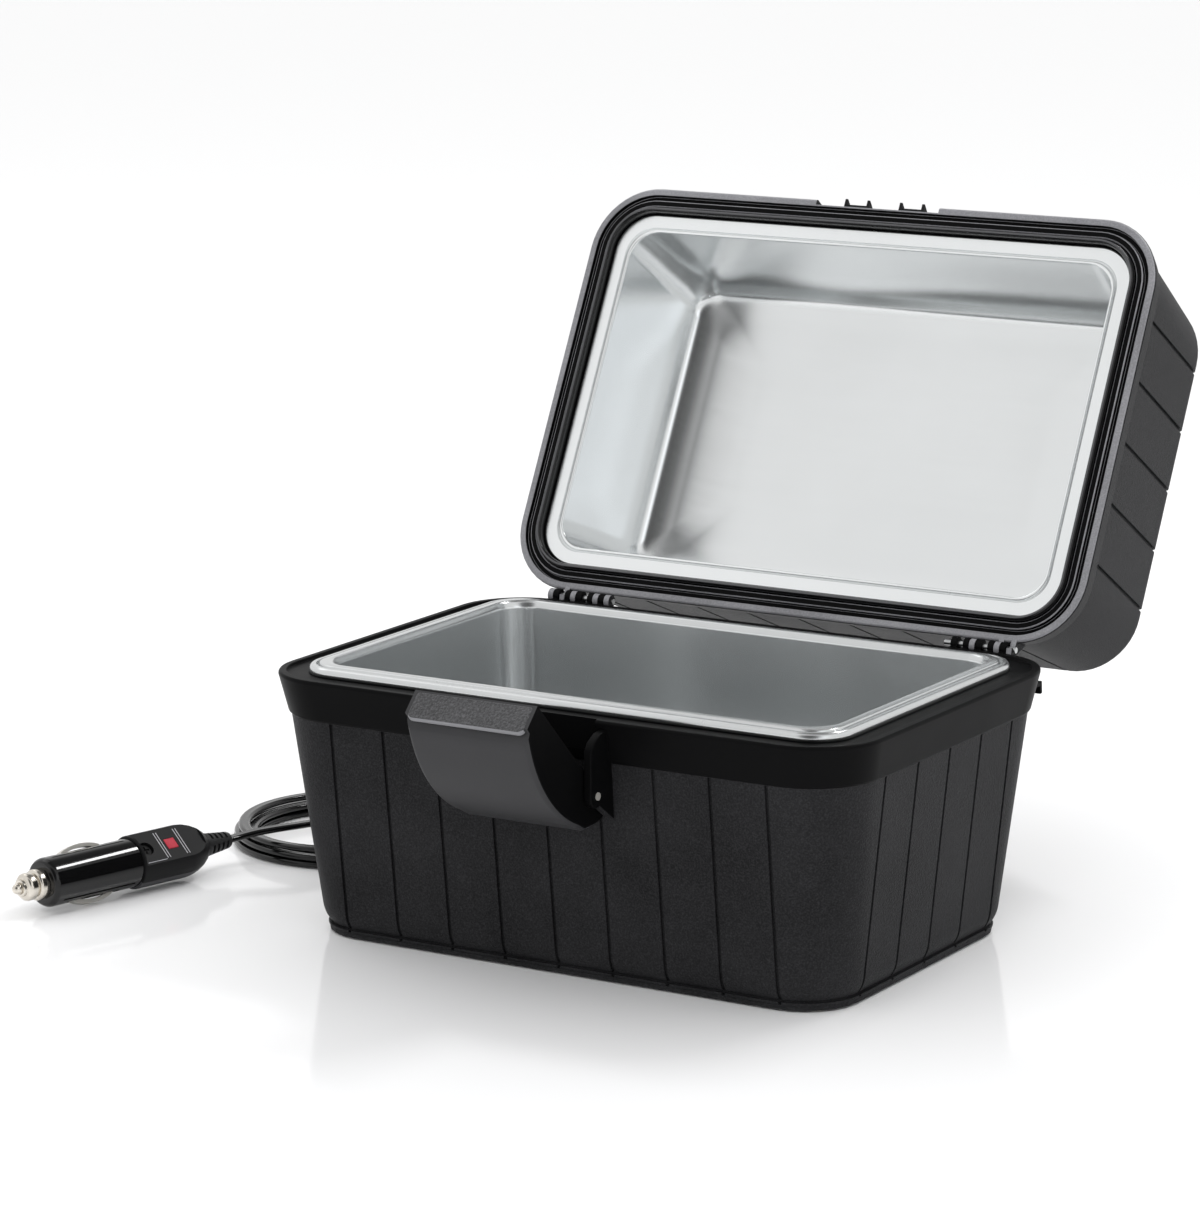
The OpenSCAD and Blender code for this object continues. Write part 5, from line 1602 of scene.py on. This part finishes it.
@dataclass
class Inside:
    """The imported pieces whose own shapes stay, and the finish that each one gets."""

    finishes: dict[str, Finish] = field(default_factory=lambda: {
        "bottom_cover": SHELL_GRAIN, "cover_screws": NICKEL_PLATE, "rubber_feet": SOFT_RUBBER, "hinge_pins": STEEL_SHEET,
        "latch_pin": CONTACT_PLATE, "heater_element": MICA_SHEET, "heater_clamp": STEEL_SHEET, "clamp_nuts": NICKEL_PLATE,
        "thermostat": BROWN_RESIN, "thermal_fuse": STEEL_SHEET, "thermostat_lead": RED_SHEATH, "element_lead": WHITE_SHEATH,
        "supply_lead_positive": RED_SHEATH, "supply_lead_negative": LEAD_SHEATH, "crimp_connectors": BLUE_SHEATH,
        "base_insulation_sleeve": GLASS_WOOL, "base_insulation_pad": GLASS_WOOL, "lid_insulation": GLASS_WOOL,
        "plug_fuse": FUSE_GLASS, "plug_spring": STEEL_SHEET, "plug_terminal": BRASS_SHEET, "plug_screw": BLACK_SCREW,
    })

    def dress(self, nodes: dict[str, bpy.types.Object]) -> None:
        """Gives each of these nodes its finish.

        Args:
            nodes: the frame's objects by node.
        """
        for name, finish in self.finishes.items():
            mesh = nodes[name].data
            mesh.materials.clear()
            mesh.materials.append(finish.material())
            LOG.info("%s keeps its shape", name)


# ------------------------------------------------------------------ studio


@dataclass(frozen=True)
class Studio:
    """The camera, the floor and the lights."""

    eye: Point = (0.9373, -1.5657, 0.5166)
    azimuth: float = 31.62
    elevation: float = 11.99
    tilt: float = -0.37
    lens: float = 143.32
    dark_side: Point = (0.2, -0.78, 0.55)
    dark_top: Point = (-0.05, 0.3, 0.95)

    def camera(self) -> None:
        """Places the camera."""
        a, e, r = (math.radians(v) for v in (self.azimuth, self.elevation, self.tilt))
        back = Vector((math.sin(a) * math.cos(e), -math.cos(a) * math.cos(e), math.sin(e)))
        level = Vector((0, 0, 1)).cross(back).normalized()
        rise = back.cross(level)
        right = level * math.cos(r) + rise * math.sin(r)
        up = rise * math.cos(r) - level * math.sin(r)
        data = bpy.data.cameras.new("camera")
        data.lens, data.sensor_width, data.sensor_fit = self.lens, 36.0, "AUTO"
        data.clip_end = 200.0
        obj = bpy.data.objects.new("camera", data)
        obj.matrix_world = Matrix((
            (right.x, up.x, back.x, self.eye[0]),
            (right.y, up.y, back.y, self.eye[1]),
            (right.z, up.z, back.z, self.eye[2]),
            (0, 0, 0, 1),
        ))
        bpy.context.scene.collection.objects.link(obj)
        bpy.context.scene.camera = obj

    def floor(self) -> None:
        """Lays the pale floor."""
        shop = Shop()
        bmesh.ops.create_grid(shop.bm, x_segments=2, y_segments=2, size=30000.0)
        bmesh.ops.scale(shop.bm, vec=(MM, MM, MM), verts=shop.bm.verts[:])
        mesh = bpy.data.meshes.new("floor")
        shop.bm.to_mesh(mesh)
        shop.bm.free()
        obj = bpy.data.objects.new("floor", mesh)
        bpy.context.scene.collection.objects.link(obj)
        made = bpy.data.materials.new("pale_floor")
        made.use_nodes = True
        shader = made.node_tree.nodes["Principled BSDF"]
        shader.inputs["Base Color"].default_value = (0.93, 0.93, 0.935, 1)
        shader.inputs["Roughness"].default_value = 0.1
        shader.inputs["Specular IOR Level"].default_value = 0.16
        mesh.materials.append(made)

    def light(self, name: str, place: Point, aim: Point, size: Flat, power: float, tone: Point = (1, 1, 1)) -> None:
        """Hangs one soft rectangular light.

        Args:
            name: the light's name.
            place: where it hangs, in metres.
            aim: the point that it faces.
            size: its width and height.
            power: watts.
            tone: its colour.
        """
        data = bpy.data.lights.new(name, "AREA")
        data.shape, data.size, data.size_y = "RECTANGLE", size[0], size[1]
        data.energy, data.color = power, tone
        obj = bpy.data.objects.new(name, data)
        obj.location = place
        obj.rotation_euler = (Vector(aim) - Vector(place)).to_track_quat("-Z", "Y").to_euler()
        bpy.context.scene.collection.objects.link(obj)

    def lights(self) -> None:
        """Hangs the lights and sets the surroundings."""
        world = bpy.data.worlds.new("surroundings")
        world.use_nodes = True
        tree = world.node_tree
        room = tree.nodes["Background"]
        place = tree.nodes.new("ShaderNodeTexCoord")
        facing = tree.nodes.new("ShaderNodeVectorMath")
        facing.operation = "DOT_PRODUCT"
        facing.inputs[1].default_value = Vector(self.dark_side).normalized()
        tree.links.new(place.outputs["Generated"], facing.inputs[0])
        shade = tree.nodes.new("ShaderNodeMapRange")
        shade.interpolation_type = "SMOOTHSTEP"
        for name, value in (("From Min", 0.82), ("From Max", 0.965), ("To Min", 0.93), ("To Max", 0.1)):
            shade.inputs[name].default_value = value
        tree.links.new(facing.outputs["Value"], shade.inputs["Value"])
        overhead = tree.nodes.new("ShaderNodeVectorMath")
        overhead.operation = "DOT_PRODUCT"
        overhead.inputs[1].default_value = Vector(self.dark_top).normalized()
        tree.links.new(place.outputs["Generated"], overhead.inputs[0])
        dim = tree.nodes.new("ShaderNodeMapRange")
        dim.interpolation_type = "SMOOTHSTEP"
        for name, value in (("From Min", 0.72), ("From Max", 0.92), ("To Min", 0.95), ("To Max", 0.2)):
            dim.inputs[name].default_value = value
        tree.links.new(overhead.outputs["Value"], dim.inputs["Value"])
        least = tree.nodes.new("ShaderNodeMath")
        least.operation = "MINIMUM"
        tree.links.new(shade.outputs["Result"], least.inputs[0])
        tree.links.new(dim.outputs["Result"], least.inputs[1])
        tree.links.new(least.outputs["Value"], room.inputs["Strength"])
        room.inputs["Color"].default_value = (1.0, 1.0, 1.0, 1)
        paper = tree.nodes.new("ShaderNodeBackground")
        paper.inputs["Color"].default_value = (1.0, 1.0, 1.0, 1)
        paper.inputs["Strength"].default_value = 1.15
        seen = tree.nodes.new("ShaderNodeLightPath")
        open_air = tree.nodes.new("ShaderNodeMath")
        open_air.operation = "MAXIMUM"
        tree.links.new(seen.outputs["Is Camera Ray"], open_air.inputs[0])
        tree.links.new(seen.outputs["Is Diffuse Ray"], open_air.inputs[1])
        either = tree.nodes.new("ShaderNodeMixShader")
        tree.links.new(open_air.outputs["Value"], either.inputs["Fac"])
        tree.links.new(room.outputs["Background"], either.inputs[1])
        tree.links.new(paper.outputs["Background"], either.inputs[2])
        tree.links.new(either.outputs["Shader"], tree.nodes["World Output"].inputs["Surface"])
        bpy.context.scene.world = world
        bpy.context.scene.view_settings.view_transform = "Standard"
        self.light("over_left", (-1.5, 0.4, 2.0), (0, 0, 0.1), (1.6, 1.2), 5.0)
        self.light("back_strip", (0.29, 0.67, 1.145), (-0.2, -0.08, 0.02), (0.5, 0.1), 4.5)
        self.light("front_right", (1.6, -1.15, 1.15), (0, 0, 0.15), (1.0, 1.0), 1.5, (0.9, 0.95, 1.0))


# ------------------------------------------------------------------ the whole box


def main() -> None:
    """Builds the studio, the lead and then every piece of the box."""
    logging.basicConfig(level=logging.INFO, format="%(name)s: %(message)s")
    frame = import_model()
    studio = Studio()
    studio.camera()
    plug = Plug()
    plug_pieces = [
        plug.barrel(), plug.nose(), plug.pin(), plug.contact(Body.CONTACT_RIGHT, -1, "plug_contact_right"),
        plug.contact(Body.CONTACT_LEFT, 1, "plug_contact_left"), plug.housing(True), plug.housing(False), plug.lamp(), plug.stripes(), plug.boot(),
    ]
    lead = Lead()
    bushing = lead.bushing()
    lead.build()
    tub = Tub()
    tub.shell()
    tub.pan()
    lid = Lid()
    lid.shell()
    lid.catches()
    lid.pan()
    lid.gasket()
    latch = Latch()
    latch.flap()
    latch.lip_plate()
    latch.hooks()
    Inside().dress(frame["nodes"])
    studio.floor()
    studio.lights()


if __name__ == "__main__":
    main()
